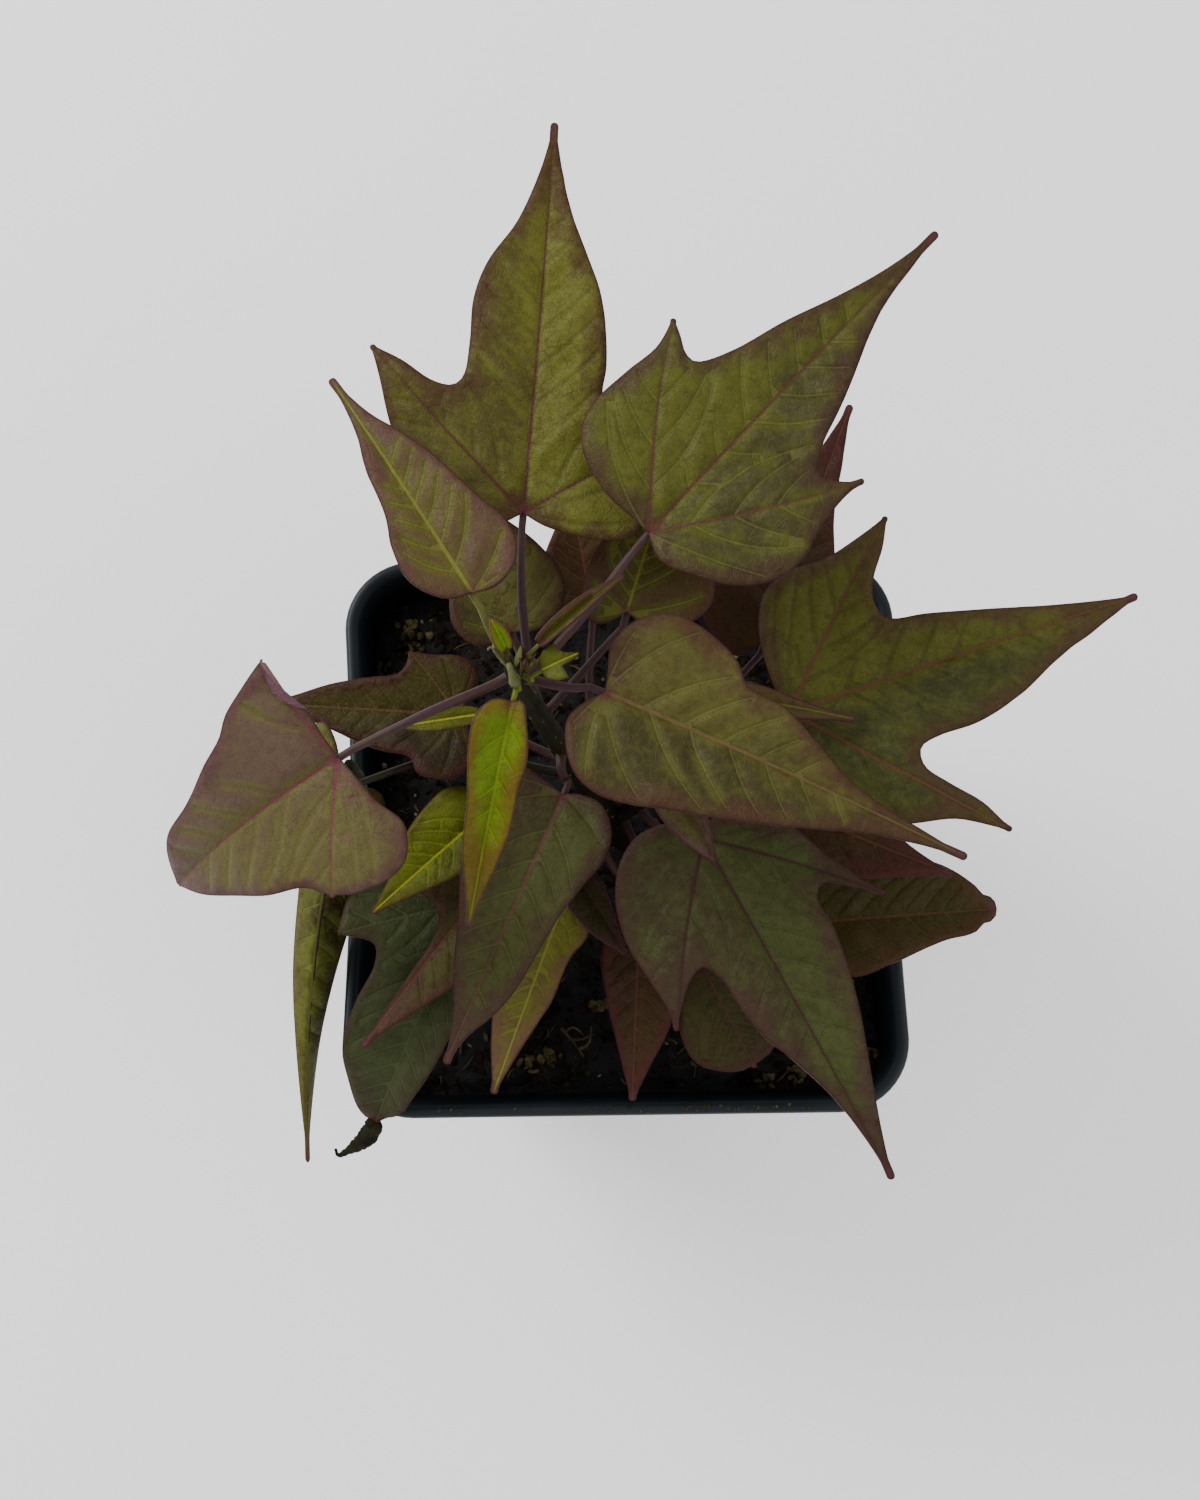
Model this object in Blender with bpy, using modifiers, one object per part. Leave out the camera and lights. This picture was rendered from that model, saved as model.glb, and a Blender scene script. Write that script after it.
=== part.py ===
"""Ornamental sweet potato vine in a square black nursery pot.

The tables are in millimetres and degrees, and the meshes are built in metres.
The origin is the centre of the pot's flat underside. +Z is up, and -Y is the front.
"""
import math

import bmesh
import bpy
from mathutils import Vector
from mathutils.geometry import delaunay_2d_cdt

MM = 0.001
WELD = 0.000002
COLLECTION = "sweet_potato_vine"
CUTTERS = "cutters"
GAP = 0.3

# Pot
RIM_WIDTH = 100.0
RIM_DEPTH = 101.0
POT_HEIGHT = 88.0
BASE_WIDTH = 70.0
WALL = 1.1
FLOOR = 1.6
RIM_CORNER = 11.0
BASE_CORNER = 8.0
LIP_DEPTH = 6.0
LIP_STEP = 1.7
LIP_ROUND = 0.8
LIP_FLARE = 0.9
FOOT_ROUND = 1.2
SIDE_BOW = 1.2
CORNER_STEPS = 5
SIDE_STEPS = 4
DRAIN_RADIUS = 4.5
DRAIN_PLACE = 22.0
HOLE_SIDES = 16

# Soil
SOIL_TOP = 79.0
SOIL_MOUND = 1.5
SOIL_RINGS = (0.92, 0.66, 0.36)
SOIL_LUMPS = 0.8
SOIL_WAVES = (20.0, 23.0)
SOIL_SLANT_WAVES = (48.0, 30.0)

# Stem
STEM_HOLE_DEPTH = 14.0
STEM_FOOT = SOIL_TOP - STEM_HOLE_DEPTH + GAP
STEM_HOLE_RADIUS = 2.8
STEM_HOLE_REACH = 6.0
STEMS = {
    "main": dict(
        path=((0, 0, STEM_FOOT), (0, 0, 81), (-3, 3, 92), (-7.5, 7, 108), (-12, 11, 124),
              (-15.5, 14.5, 138), (-17, 16, 148)),
        radius=(2.4, 1.3)),
    "right": dict(path=((-2, 2, 88), (3, 4, 96), (6.5, 5.5, 108), (7, 5.5, 121)),
                  radius=(1.8, 1.2)),
    "left": dict(path=((-1, 1, 85), (-7, -3, 92), (-12, -5.5, 100), (-14, -3, 110)),
                 radius=(1.8, 1.2)),
}

# Leaf blades and stalks
BLADE = 0.7
STALK_SPLINE_STEPS = 3
STALK_LEAD = 1.6
STALK_APPROACH = 2.5
STALK_DIP = 0.6
STALK_SINK = 0.45
STALK_NECK = 0.9
RIB_STATIONS = (0.08, 0.2, 0.34)
RIB_RADII = (0.8, 0.65, 0.5)
RIB_SINK = 0.25
GRID_STEP = 8.0
EDGE_CLEARANCE = 2.2
MIDRIB_PARTS = 12
WAVE_LENGTH = 17.0
WAVE_REACH = 12.0
WAVE_SHIFT = 2.0
TIP = 1


def colour(red, green, blue):
    """Turn a screen colour of 0 to 255 into the linear colour that a material takes."""
    return tuple(((c / 255 + 0.055) / 1.055) ** 2.4 for c in (red, green, blue)) + (1.0,)


OLIVE = colour(88, 95, 42)
BROWN_GREEN = colour(92, 78, 48)
DARK_GREEN = colour(66, 74, 44)
RED_BROWN = colour(84, 52, 42)
BRIGHT_GREEN = colour(132, 158, 44)
DULL_GREEN = colour(62, 80, 50)
MAUVE = colour(112, 84, 72)

# Each leaf: the junction is where the stalk meets the blade. Heading is the way that the
# midrib runs in plan, pitch its slope at the junction and at the tip, and sweep how far
# it turns sideways. Left and right list the outline as seen from above, from the
# junction to the tip, as distance along the midrib and distance across it. TIP marks a
# pointed lobe. Fold is how far each half rises from the midrib, and droop how fast
# it bends down again, in degrees per millimetre. A stalk leaves a stem at a share of
# its length and passes through its own points. Withered lists the route of a shrivelled
# tip, which hangs on as a twisted string.
LEAVES = {
    "leaf_back": dict(
        junction=(-15.6, 43.3, 140), heading=84, length=66.5, pitch=(8, -4), sweep=2,
        left=((-2, 3.5), (-1, 8.5), (2, 15), (7, 20), (13.5, 23), (20, 25), (25.5, 27, TIP),
              (23, 21.5), (20, 16.5), (19.5, 13), (21, 11.5), (27, 11), (34, 11), (41, 9),
              (48, 5), (55, 2.5), (61, 1)),
        right=((-2, 4), (-3.5, 13), (-2.5, 18), (3.5, 21), (9.5, 21.5), (14.5, 22, TIP),
               (16, 17), (19, 11.5), (24.5, 11.5), (30, 11), (37, 9.5), (43, 7), (50, 4),
               (57, 2)),
        stalk=("main", 0.8, ((-16, 30, 138),)), colour=OLIVE),
    "leaf_back_right": dict(
        junction=(4.2, 37.4, 148), heading=45.5, length=66.7, pitch=(10, -2),
        left=((0, 3), (0, 9), (2, 15.5), (5, 19), (10, 20.5), (16, 20), (22, 19),
              (27.5, 20.5, TIP), (26, 17.5), (24.5, 15), (24.5, 13), (30, 10), (39.5, 7),
              (49.5, 3.5), (57, 1.5)),
        right=((-2, 4.5), (0, 10.5), (3, 16), (8, 20), (13, 21), (19, 19.5), (25, 19),
               (28.5, 19.5, TIP), (26, 17), (24.5, 13.5), (28, 11), (34, 9), (40.5, 6.5),
               (46.5, 4), (53, 2), (60, 1)),
        stalk=("main", 0.9, ((-6, 25, 145),)), colour=OLIVE),
    "leaf_back_left": dict(
        junction=(-23.1, 27, 152), heading=121.7, length=43.7, pitch=(6, -18),
        left=((1, 3.5), (3.5, 6), (7, 7.5), (12, 7), (17.5, 5), (26, 3.5), (32.5, 1.5)),
        right=((-1, 3.5), (0, 7.5), (3, 10), (7.5, 10.5), (12, 9), (16, 8), (22.5, 6.5),
               (28, 4.5), (34, 2)),
        stalk=("main", 0.88, ((-20.5, 22, 149),)), colour=MAUVE),
    "leaf_left": dict(
        junction=(-44, 2.4, 148), heading=209, length=42.5, pitch=(-15, -60), fold=(8, 30),
        left=((-1, 4), (-2, 9), (-4, 14), (-3, 17), (-1, 19.5), (3, 20.5), (8, 19.5),
              (12.5, 18, TIP), (15, 14.5), (21.5, 12), (28.5, 8.5), (36, 4.5)),
        right=((0, 4), (1, 9), (1, 15), (1, 19, TIP), (5.5, 16.5), (10, 15), (13, 11.5),
               (18, 10), (26, 8), (33, 6.5), (37, 4.5)),
        stalk=("main", 0.97, ((-30, 9, 149),)), colour=MAUVE),
    "leaf_right": dict(
        junction=(-2.9, 12.5, 146), heading=335.5, length=62.6, pitch=(2, -16),
        left=((-1, 3.5), (-2, 7), (-0.5, 11.5), (3, 14.5), (7.5, 15.5), (13, 14.5),
              (17, 12.5), (20, 9.5), (26.5, 9), (32.5, 6.5), (40, 3), (47, 1.5), (55, 0.7)),
        right=((-2, 2.5), (-3.5, 6.5), (-2, 10.5), (1, 14), (5, 15.5), (10.5, 15),
               (18, 13), (27, 10.5), (36, 7.5), (45, 4), (54.5, 1.5)),
        stalk=("main", 0.93, ((-8, 13.4, 145),)), colour=BROWN_GREEN),
    "leaf_far_right": dict(
        junction=(27.5, 13.5, 124), heading=17.7, length=60.8, pitch=(6, -2),
        left=((-1, 4), (-1, 11), (0.5, 17), (3, 20.5), (8, 22.5), (14, 22.5), (20.5, 24),
              (26, 26, TIP), (23.5, 21), (20, 16), (19, 12.5), (20, 9.5), (27, 8),
              (36.5, 5.5), (46, 3), (55, 1)),
        right=((-1, 5), (0.5, 11.5), (4, 18), (10.5, 23.5), (20, 26), (27.5, 30.5, TIP),
               (24.5, 24.5), (20.5, 20), (17.5, 16), (18, 13), (21.5, 12), (28.5, 12),
               (36, 10), (44.5, 6), (53, 3)),
        stalk=("right", 0.72, ((16, 9.5, 118),)), colour=OLIVE),
    "leaf_front_right": dict(
        junction=(12.9, -6.6, 120), heading=298.4, length=63.9, pitch=(0, -14),
        left=((-2, 2), (-0.5, 7.5), (5.5, 13.5), (12.5, 16.5), (22.5, 21.5, TIP),
              (18.5, 17), (16, 13.5), (17.5, 11.5), (22, 11.5), (29.5, 10.5), (37, 8.5),
              (46, 5.5), (55, 2.5)),
        right=((-4, 2), (-5.5, 9), (-3, 14), (1.5, 17.5), (8, 19.5), (15, 19.5),
               (21.5, 19), (25.5, 19.5, TIP), (22, 16.5), (19, 13), (18.5, 10.5),
               (21.5, 9), (27, 8.5), (33, 7.5), (40, 4.5), (48, 2), (55.5, 0.7)),
        stalk=("right", 0.62, ((10, -2, 116),)), colour=DARK_GREEN),
    "leaf_front": dict(
        junction=(-10, 1.3, 118), heading=245.5, length=48.6, pitch=(0, -12),
        left=((-1, 2), (-1, 6.5), (2.5, 10), (7, 11), (12, 9.5), (17.5, 8), (24.5, 7),
              (32.5, 6), (38.5, 4), (43, 1.5)),
        right=((-1, 4), (-1.5, 8.5), (2, 11.5), (10, 12), (18, 10.5), (26, 7.5),
               (33.5, 5), (40.5, 2)),
        stalk=("main", 0.6, ((-9.5, 4, 116),)), colour=DARK_GREEN),
    "leaf_young_bright": dict(
        junction=(-17.1, 10.8, 148), heading=256, length=39, pitch=(-22, -40),
        fold=(25, 25),
        left=((-0.5, 1.5), (2.5, 3), (8.5, 4.5), (12.5, 4), (20, 4), (26, 3), (32, 1.5)),
        right=((0, 3), (3, 5.5), (8.5, 5.5), (17, 4), (24, 3.5), (31, 2)),
        stalk=("main", 0.985, ()), colour=BRIGHT_GREEN, stalk_radius=0.8),
    "leaf_front_left": dict(
        junction=(-18.6, -5.8, 105), heading=231.4, length=42.5, pitch=(0, -10),
        left=((-1, 2.5), (2, 5), (7.5, 7), (15, 7), (24, 6.5), (30, 4.5), (36.5, 2)),
        right=((-1, 2.5), (0.5, 5), (6, 7.5), (11.5, 8), (16, 9, TIP), (15.5, 5.5),
               (17, 3), (21, 1.5), (28.5, 1), (36.5, 0.5)),
        stalk=("left", 0.72, ()), colour=DARK_GREEN),
    "leaf_corner": dict(
        junction=(-26.3, -14.2, 99), heading=244.7, length=44, pitch=(14, -42),
        left=((0, 2), (3, 4.5), (11, 6.5), (19.5, 6.5), (28, 6), (34, 5), (39.5, 3.5),
              (41.5, 1.5)),
        right=((-1.5, 4.5), (0.5, 13), (6.5, 19.5), (14.5, 18.5, TIP), (13.5, 12),
               (16.5, 10.5), (24, 11), (31.5, 10), (37, 7), (42, 3.5)),
        stalk=("left", 0.42, ((-18, -9, 96),)), colour=DULL_GREEN,
        withered=((-43.7, -50.9, 89.2), (-45, -52.8, 86.5), (-46.9, -54.3, 84),
                  (-49.3, -55.6, 81.5), (-51.2, -56.3, 80), (-51.6, -55.2, 80.5))),
    "leaf_side": dict(
        junction=(-47.3, 1, 115), heading=250, length=73, pitch=(-42, -28), sweep=20,
        fold=(-60, -25), droop=0.2,
        left=((-1, 3), (0, 8), (4, 12), (10, 13.5, TIP), (16, 12), (25, 10), (36, 7),
              (48, 4), (60, 2)),
        right=((-5, 1.5), (-10, 4), (-12, 7), (-9.5, 9.5), (-4, 10.5), (3, 9.5), (11, 7.5),
               (18, 5.5), (27, 4.8), (38, 4), (50, 2.5), (61, 1.2)),
        stalk=("main", 0.5, ((-28, 10, 109),)), colour=BROWN_GREEN),
    "leaf_mid_left": dict(
        junction=(-27.6, 15.5, 116), heading=175, length=33, pitch=(0, -8),
        left=((-3, 4), (-3.5, 8), (-1, 11), (3.5, 11.4), (5.8, 10.8), (7.2, 8), (11.5, 7.3),
              (15.8, 6.1), (21.2, 3.9), (26.5, 2)),
        right=((-2, 3), (-3, 6), (-2, 8.8), (1, 10), (5, 9.9), (9, 10.4, TIP), (9.3, 8),
               (10.6, 6.3), (15.2, 5.4), (21.9, 3.9), (27.1, 2)),
        stalk=("main", 0.55, ()), colour=RED_BROWN),
    "leaf_inner_back": dict(
        junction=(-18.1, 27.7, 124), heading=108, length=24, pitch=(12, 2),
        left=((-1, 3), (0, 7), (4, 9), (9, 8), (14, 6), (19, 3)),
        right=((-1, 4), (1, 9), (6, 11), (12, 9), (18, 5)),
        stalk=("main", 0.66, ()), colour=RED_BROWN),
    "leaf_inner_low": dict(
        junction=(-5.1, 36.5, 112), heading=100, length=18, pitch=(6, 0),
        left=((-2, 3), (0, 7), (5, 8), (11, 5)),
        right=((-2, 4), (-1, 9), (5, 12), (9, 12, TIP), (10, 7), (13, 3)),
        stalk=("main", 0.42, ((-5.5, 22, 107),)), colour=RED_BROWN),
    "leaf_veined": dict(
        junction=(0.9, 29.3, 130), heading=72, length=32, pitch=(8, 0),
        left=((-3, 3), (-3, 6), (1.5, 8), (7, 8), (14, 6), (22, 3)),
        right=((-1.5, 4.5), (1, 10.5), (5.5, 13), (11, 11.5), (18, 8), (25, 4)),
        stalk=("main", 0.72, ()), colour=BROWN_GREEN),
    "leaf_dark": dict(
        junction=(24.8, 29.1, 110), heading=69, length=44, pitch=(8, 2),
        left=((-4, 3), (-4, 6), (-1, 10.5), (4, 13.5), (14.5, 10), (25, 5), (36, 2)),
        right=((-2, 4), (0, 9), (7, 10), (16, 7), (24, 4), (34, 2)),
        stalk=("right", 0.35, ((14, 17, 104),)), colour=RED_BROWN),
    "leaf_small_mid": dict(
        junction=(5.1, 6.4, 131), heading=298.5, length=21.4, pitch=(-10, -25),
        fold=(45, 45), droop=0.3,
        left=((0, 2.5), (5, 4), (12, 3), (17, 1.5)),
        right=((0, 3), (3, 5.5), (8, 7), (16, 4)),
        stalk=("right", 1.0, ()), colour=MAUVE, stalk_radius=0.7),
    "leaf_small_low": dict(
        junction=(-9.9, -7.9, 112), heading=301.7, length=19.8, pitch=(-10, -20),
        fold=(35, 35), droop=0.3,
        left=((0, 2), (2.5, 3), (8, 3), (14, 1.5)),
        right=((0, 2), (3, 4), (7, 5), (14, 3.5)),
        stalk=("left", 0.86, ()), colour=MAUVE, stalk_radius=0.7),
    "leaf_bronze": dict(
        junction=(-8.9, -11.3, 106), heading=248.8, length=38.7, pitch=(-4, -12),
        left=((0, 2), (1.5, 4), (8, 6), (12.5, 4.5), (20.5, 4), (29, 2)),
        right=((-1, 2), (4.5, 3.5), (14, 4.5), (22, 5.5), (30, 3.5)),
        stalk=("left", 0.6, ()), colour=OLIVE, stalk_radius=0.9),
    "leaf_red_front": dict(
        junction=(2.7, -15.1, 101), heading=266.8, length=33.6, pitch=(-4, -10),
        left=((0, 2), (2.5, 4.5), (11, 7.5), (20.5, 6), (26, 3.5)),
        right=((0, 3), (3, 5), (9, 6.5), (16.5, 5), (24, 3)),
        stalk=("left", 0.28, ((-1, -9, 96),)), colour=RED_BROWN),
    "leaf_folded_front": dict(
        junction=(13.2, -25.3, 98), heading=297, length=20, pitch=(-5, -14),
        left=((0, 3), (3, 7), (10, 9), (16, 7), (19, 3)),
        right=((0, 3), (2, 5.5), (7, 8.5), (13.5, 9), (18, 5)),
        stalk=("right", 0.12, ((6, -10, 92),)), colour=DULL_GREEN),
    "leaf_low_right": dict(
        junction=(27.2, -19.3, 104), heading=4, length=37, pitch=(2, -10),
        left=((-1, 2), (1.5, 6), (8.5, 9.5), (18, 10), (27, 8.5), (33, 4.5)),
        right=((-1, 2), (2, 5), (10, 10), (18, 8), (26.5, 5), (33, 3.5)),
        stalk=("right", 0.3, ((14, -8, 99),)), colour=BROWN_GREEN),
    "leaf_under_right": dict(
        junction=(17, 3, 115), heading=338, length=41, pitch=(0, -6),
        left=((-1, 2), (3, 5), (12, 7), (22, 6), (32, 2)),
        right=((-1, 2), (4.5, 5), (14, 7), (25, 7), (32, 4)),
        stalk=("right", 0.52, ()), colour=RED_BROWN),
    "leaf_small_right": dict(
        junction=(12.5, 15.9, 131), heading=349.4, length=25.7, pitch=(0, -10),
        fold=(25, 25),
        left=((0, 1.5), (4.5, 2.5), (10, 2.5), (15, 1.5)),
        right=((0, 1.5), (4.5, 2.5), (11, 2.5), (17, 2)),
        stalk=("right", 0.97, ()), colour=OLIVE, stalk_radius=0.7),
    "leaf_bright_left": dict(
        junction=(-21.8, 0.6, 112), heading=220, length=27.5, pitch=(0, -14),
        left=((-1, 2), (2, 4.5), (7, 6), (13, 5), (19, 3), (23.5, 1.5)),
        right=((-1, 2), (0, 4), (4, 7.5), (8.5, 7.5), (14.5, 6), (20, 3)),
        stalk=("left", 0.97, ()), colour=BRIGHT_GREEN),
    "leaf_thin": dict(
        junction=(-23, 12.2, 132), heading=187, length=14, pitch=(0, -10), fold=(10, 10),
        left=((0, 1), (4, 1.8), (9, 1.6)),
        right=((0, 1), (4, 1.8), (10, 1.4)),
        stalk=("main", 0.76, ()), colour=BRIGHT_GREEN, stalk_radius=0.7),
    "leaf_slender": dict(
        junction=(-13, 19, 151), heading=41, length=17, pitch=(14, 6), sweep=-8,
        fold=(55, 55), droop=0.2,
        left=((0, 1), (4, 2.4), (10, 2.2)),
        right=((0, 1), (4, 2.4), (10, 2.2)),
        stalk=("main", 0.96, ()), colour=BRIGHT_GREEN, stalk_radius=0.6),
    "leaf_tip_pointed": dict(
        junction=(-17.8, 17.8, 152), heading=118, length=6, pitch=(40, 20),
        fold=(30, 30),
        left=((0, 0.8), (2, 1.6), (4, 1.2)),
        right=((0, 0.8), (2, 1.6), (4, 1.2)),
        stalk=("main", 1.0, ()), colour=BRIGHT_GREEN, stalk_radius=0.6),
    "leaf_tip_lobed": dict(
        junction=(-12.6, 15.2, 150), heading=22, length=6.5, pitch=(20, 0),
        left=((0, 1.2), (1.5, 2.6), (3.4, 3.2, TIP), (3.6, 1.6)),
        right=((0, 1.2), (1.5, 2.6), (3.4, 3.2, TIP), (3.6, 1.6)),
        stalk=("main", 0.98, ()), colour=BRIGHT_GREEN, stalk_radius=0.6),
}
LEAF_DEFAULTS = dict(sweep=0, roll=0, fold=(12, 12), droop=0.8, wave=0.5,
                     stalk_radius=1.1, withered=())
WITHERED_RADII = (1.6, 1.7, 1.2, 0.6, 0.45, 0.4)


def clear_scene():
    for item in list(bpy.data.objects):
        bpy.data.objects.remove(item, do_unlink=True)


def new_collection(name):
    collection = bpy.data.collections.new(name)
    bpy.context.scene.collection.children.link(collection)
    return collection


def give_material(item, base, roughness, metallic=0.0):
    """Give an object one material of its own name, on all of its faces."""
    material = bpy.data.materials.new(item.name)
    material.use_nodes = True
    shader = material.node_tree.nodes["Principled BSDF"]
    shader.inputs["Base Color"].default_value = base
    shader.inputs["Roughness"].default_value = roughness
    shader.inputs["Metallic"].default_value = metallic
    material.diffuse_color = base
    item.data.materials.clear()
    item.data.materials.append(material)
    for polygon in item.data.polygons:
        polygon.material_index = 0


def new_object(name, mesh, collection):
    item = bpy.data.objects.new(name, mesh)
    collection.objects.link(item)
    return item


def mesh_from(bm, name):
    mesh = bpy.data.meshes.new(name)
    bm.to_mesh(mesh)
    bm.free()
    return mesh


def applied(item):
    """Replace an object's mesh or curve with its evaluated mesh, and weld its caps."""
    bpy.context.view_layer.update()
    graph = bpy.context.evaluated_depsgraph_get()
    mesh = bpy.data.meshes.new_from_object(item.evaluated_get(graph))
    name = item.name
    collection = item.users_collection[0]
    matrix = item.matrix_world.copy()
    bpy.data.objects.remove(item, do_unlink=True)
    bm = bmesh.new()
    bm.from_mesh(mesh)
    bmesh.ops.remove_doubles(bm, verts=bm.verts, dist=WELD)
    bmesh.ops.triangulate(bm, faces=bm.faces)
    bmesh.ops.recalc_face_normals(bm, faces=bm.faces)
    bm.to_mesh(mesh)
    bm.free()
    solid = new_object(name, mesh, collection)
    solid.matrix_world = matrix
    return solid


def cut(item, cutter):
    modifier = item.modifiers.new("cut", "BOOLEAN")
    modifier.operation = "DIFFERENCE"
    modifier.solver = "EXACT"
    modifier.object = cutter


def volume_of(mesh):
    """Volume of a closed mesh, or zero where it has an open edge."""
    bm = bmesh.new()
    bm.from_mesh(mesh)
    closed = all(edge.is_manifold for edge in bm.edges)
    volume = bm.calc_volume() if closed else 0.0
    bm.free()
    return volume


def united(pieces, name, collection):
    """Join overlapping solids into one object with a single union."""
    first = pieces[0]
    least = max(volume_of(piece.data) for piece in pieces)
    group = bpy.data.collections.new(name + "_pieces")
    for piece in pieces[1:]:
        group.objects.link(piece)
    modifier = first.modifiers.new("join", "BOOLEAN")
    modifier.operation = "UNION"
    modifier.operand_type = "COLLECTION"
    modifier.collection = group
    for solver in ("EXACT", "MANIFOLD"):
        modifier.solver = solver
        trial = first.copy()
        collection.objects.link(trial)
        solid = applied(trial)
        if volume_of(solid.data) > least:
            break
        bpy.data.objects.remove(solid, do_unlink=True)
    for piece in pieces:
        bpy.data.objects.remove(piece, do_unlink=True)
    bpy.data.collections.remove(group)
    solid.name = name
    solid.data.name = name
    return solid


# Pot and soil


def square_ring(half_x, half_y, corner, height, bow=0.0):
    """Points of a rounded square at one height, with sides that bow in by the given depth."""
    points = []
    for side in range(4):
        start = math.pi / 2 * side
        sign_x = 1 if side in (0, 3) else -1
        sign_y = 1 if side in (0, 1) else -1
        centre = Vector((sign_x * (half_x - corner), sign_y * (half_y - corner), height))
        for step in range(CORNER_STEPS + 1):
            angle = start + math.pi / 2 * step / CORNER_STEPS
            points.append(centre + corner * Vector((math.cos(angle), math.sin(angle), 0)))
        following = (side + 1) % 4
        end_x = (1 if following in (0, 3) else -1) * (half_x - corner)
        end_y = (1 if following in (0, 1) else -1) * (half_y - corner)
        angle = start + math.pi / 2
        out = Vector((math.cos(angle), math.sin(angle), 0))
        last = points[-1]
        first = Vector((end_x, end_y, height)) + corner * out
        for step in range(1, SIDE_STEPS):
            share = step / SIDE_STEPS
            inward = bow * math.sin(math.pi * share) * abs(out.x)
            points.append(last.lerp(first, share) - out * inward)
    return points


def lofted(rings, name, collection, top=None, bottom=None):
    """Skin a closed solid over rings of equal point count, given from one end to the other.

    Each end closes on one face, or on a fan about the given point.
    """
    bm = bmesh.new()
    loops = [[bm.verts.new(point * MM) for point in ring] for ring in rings]
    count = len(rings[0])
    for low, high in zip(loops, loops[1:]):
        for i in range(count):
            j = (i + 1) % count
            bm.faces.new((low[i], low[j], high[j], high[i]))
    for loop, centre in ((loops[0], bottom), (loops[-1], top)):
        if centre is None:
            bm.faces.new(loop)
            continue
        middle = bm.verts.new(centre * MM)
        for i in range(count):
            bm.faces.new((loop[i], loop[(i + 1) % count], middle))
    bmesh.ops.recalc_face_normals(bm, faces=bm.faces)
    return new_object(name, mesh_from(bm, name), collection)


def wall_half(height, rim, inset=0.0):
    """Half width of the tapered wall's outer face at a height, less an inset."""
    share = height / POT_HEIGHT
    return BASE_WIDTH / 2 + (rim / 2 - LIP_STEP - BASE_WIDTH / 2) * share - inset


def wall_ring(height, inset=0.0, lip=0.0):
    share = height / POT_HEIGHT
    corner = BASE_CORNER + (RIM_CORNER - BASE_CORNER) * share - inset + lip
    half_x = wall_half(height, RIM_WIDTH, inset) + lip
    half_y = wall_half(height, RIM_DEPTH, inset) + lip
    return square_ring(half_x, half_y, corner, height, SIDE_BOW * share)


def build_pot(collection, cutters):
    rings = [
        wall_ring(0.0, inset=FOOT_ROUND),
        wall_ring(FOOT_ROUND),
        wall_ring(POT_HEIGHT - LIP_DEPTH - FOOT_ROUND),
        wall_ring(POT_HEIGHT - LIP_DEPTH, lip=LIP_STEP * LIP_FLARE),
        wall_ring(POT_HEIGHT - LIP_ROUND, lip=LIP_STEP),
        wall_ring(POT_HEIGHT, lip=LIP_STEP - LIP_ROUND),
        wall_ring(POT_HEIGHT, inset=WALL - LIP_ROUND),
        wall_ring(POT_HEIGHT - LIP_ROUND, inset=WALL),
        wall_ring(FLOOR + FOOT_ROUND, inset=WALL),
        wall_ring(FLOOR, inset=WALL + FOOT_ROUND),
    ]
    pot = lofted(rings, "pot", collection)
    for sign_x in (-1, 1):
        for sign_y in (-1, 1):
            bpy.ops.mesh.primitive_cylinder_add(
                vertices=HOLE_SIDES, radius=DRAIN_RADIUS * MM, depth=3 * FLOOR * MM,
                location=(sign_x * DRAIN_PLACE * MM, sign_y * DRAIN_PLACE * MM, FLOOR / 2 * MM))
            drain = bpy.context.object
            drain.name = "drain_cutter"
            move_to(drain, cutters)
            cut(pot, drain)
    pot = applied(pot)
    give_material(pot, colour(30, 33, 38), 0.38)
    return pot


def move_to(item, collection):
    for other in list(item.users_collection):
        other.objects.unlink(item)
    collection.objects.link(item)
    item.hide_render = True
    item.display_type = "WIRE"


def lump(point):
    """Smooth uneven height of the soil's surface at a place."""
    turn = 2 * math.pi
    knobs = math.sin(turn * point.x / SOIL_WAVES[0]) * math.cos(turn * point.y / SOIL_WAVES[1])
    slant = math.sin(turn * (point.x / SOIL_SLANT_WAVES[0] - point.y / SOIL_SLANT_WAVES[1]))
    return SOIL_LUMPS * (knobs + slant / 2)


def build_soil(collection, cutters):
    inset = WALL + GAP
    rings = [wall_ring(FLOOR + GAP, inset=inset + FOOT_ROUND),
             wall_ring(FLOOR + GAP + FOOT_ROUND, inset=inset),
             wall_ring(SOIL_TOP - SOIL_MOUND, inset=inset)]
    edge = rings[-1]
    for share in SOIL_RINGS:
        ring = []
        for point in edge:
            place = Vector((point.x * share, point.y * share, 0))
            place.z = SOIL_TOP - SOIL_MOUND + SOIL_MOUND * (1 - share) + lump(place)
            ring.append(place)
        rings.append(ring)
    soil = lofted(rings, "soil", collection, top=Vector((0, 0, SOIL_TOP)))
    hole_height = STEM_HOLE_DEPTH + STEM_HOLE_REACH
    bpy.ops.mesh.primitive_cylinder_add(
        vertices=HOLE_SIDES, radius=STEM_HOLE_RADIUS * MM, depth=hole_height * MM,
        location=(0, 0, (SOIL_TOP - STEM_HOLE_DEPTH + hole_height / 2) * MM))
    hole = bpy.context.object
    hole.name = "stem_hole_cutter"
    move_to(hole, cutters)
    cut(soil, hole)
    soil = applied(soil)
    give_material(soil, colour(42, 33, 24), 0.95)
    return soil


# Curves


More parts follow.
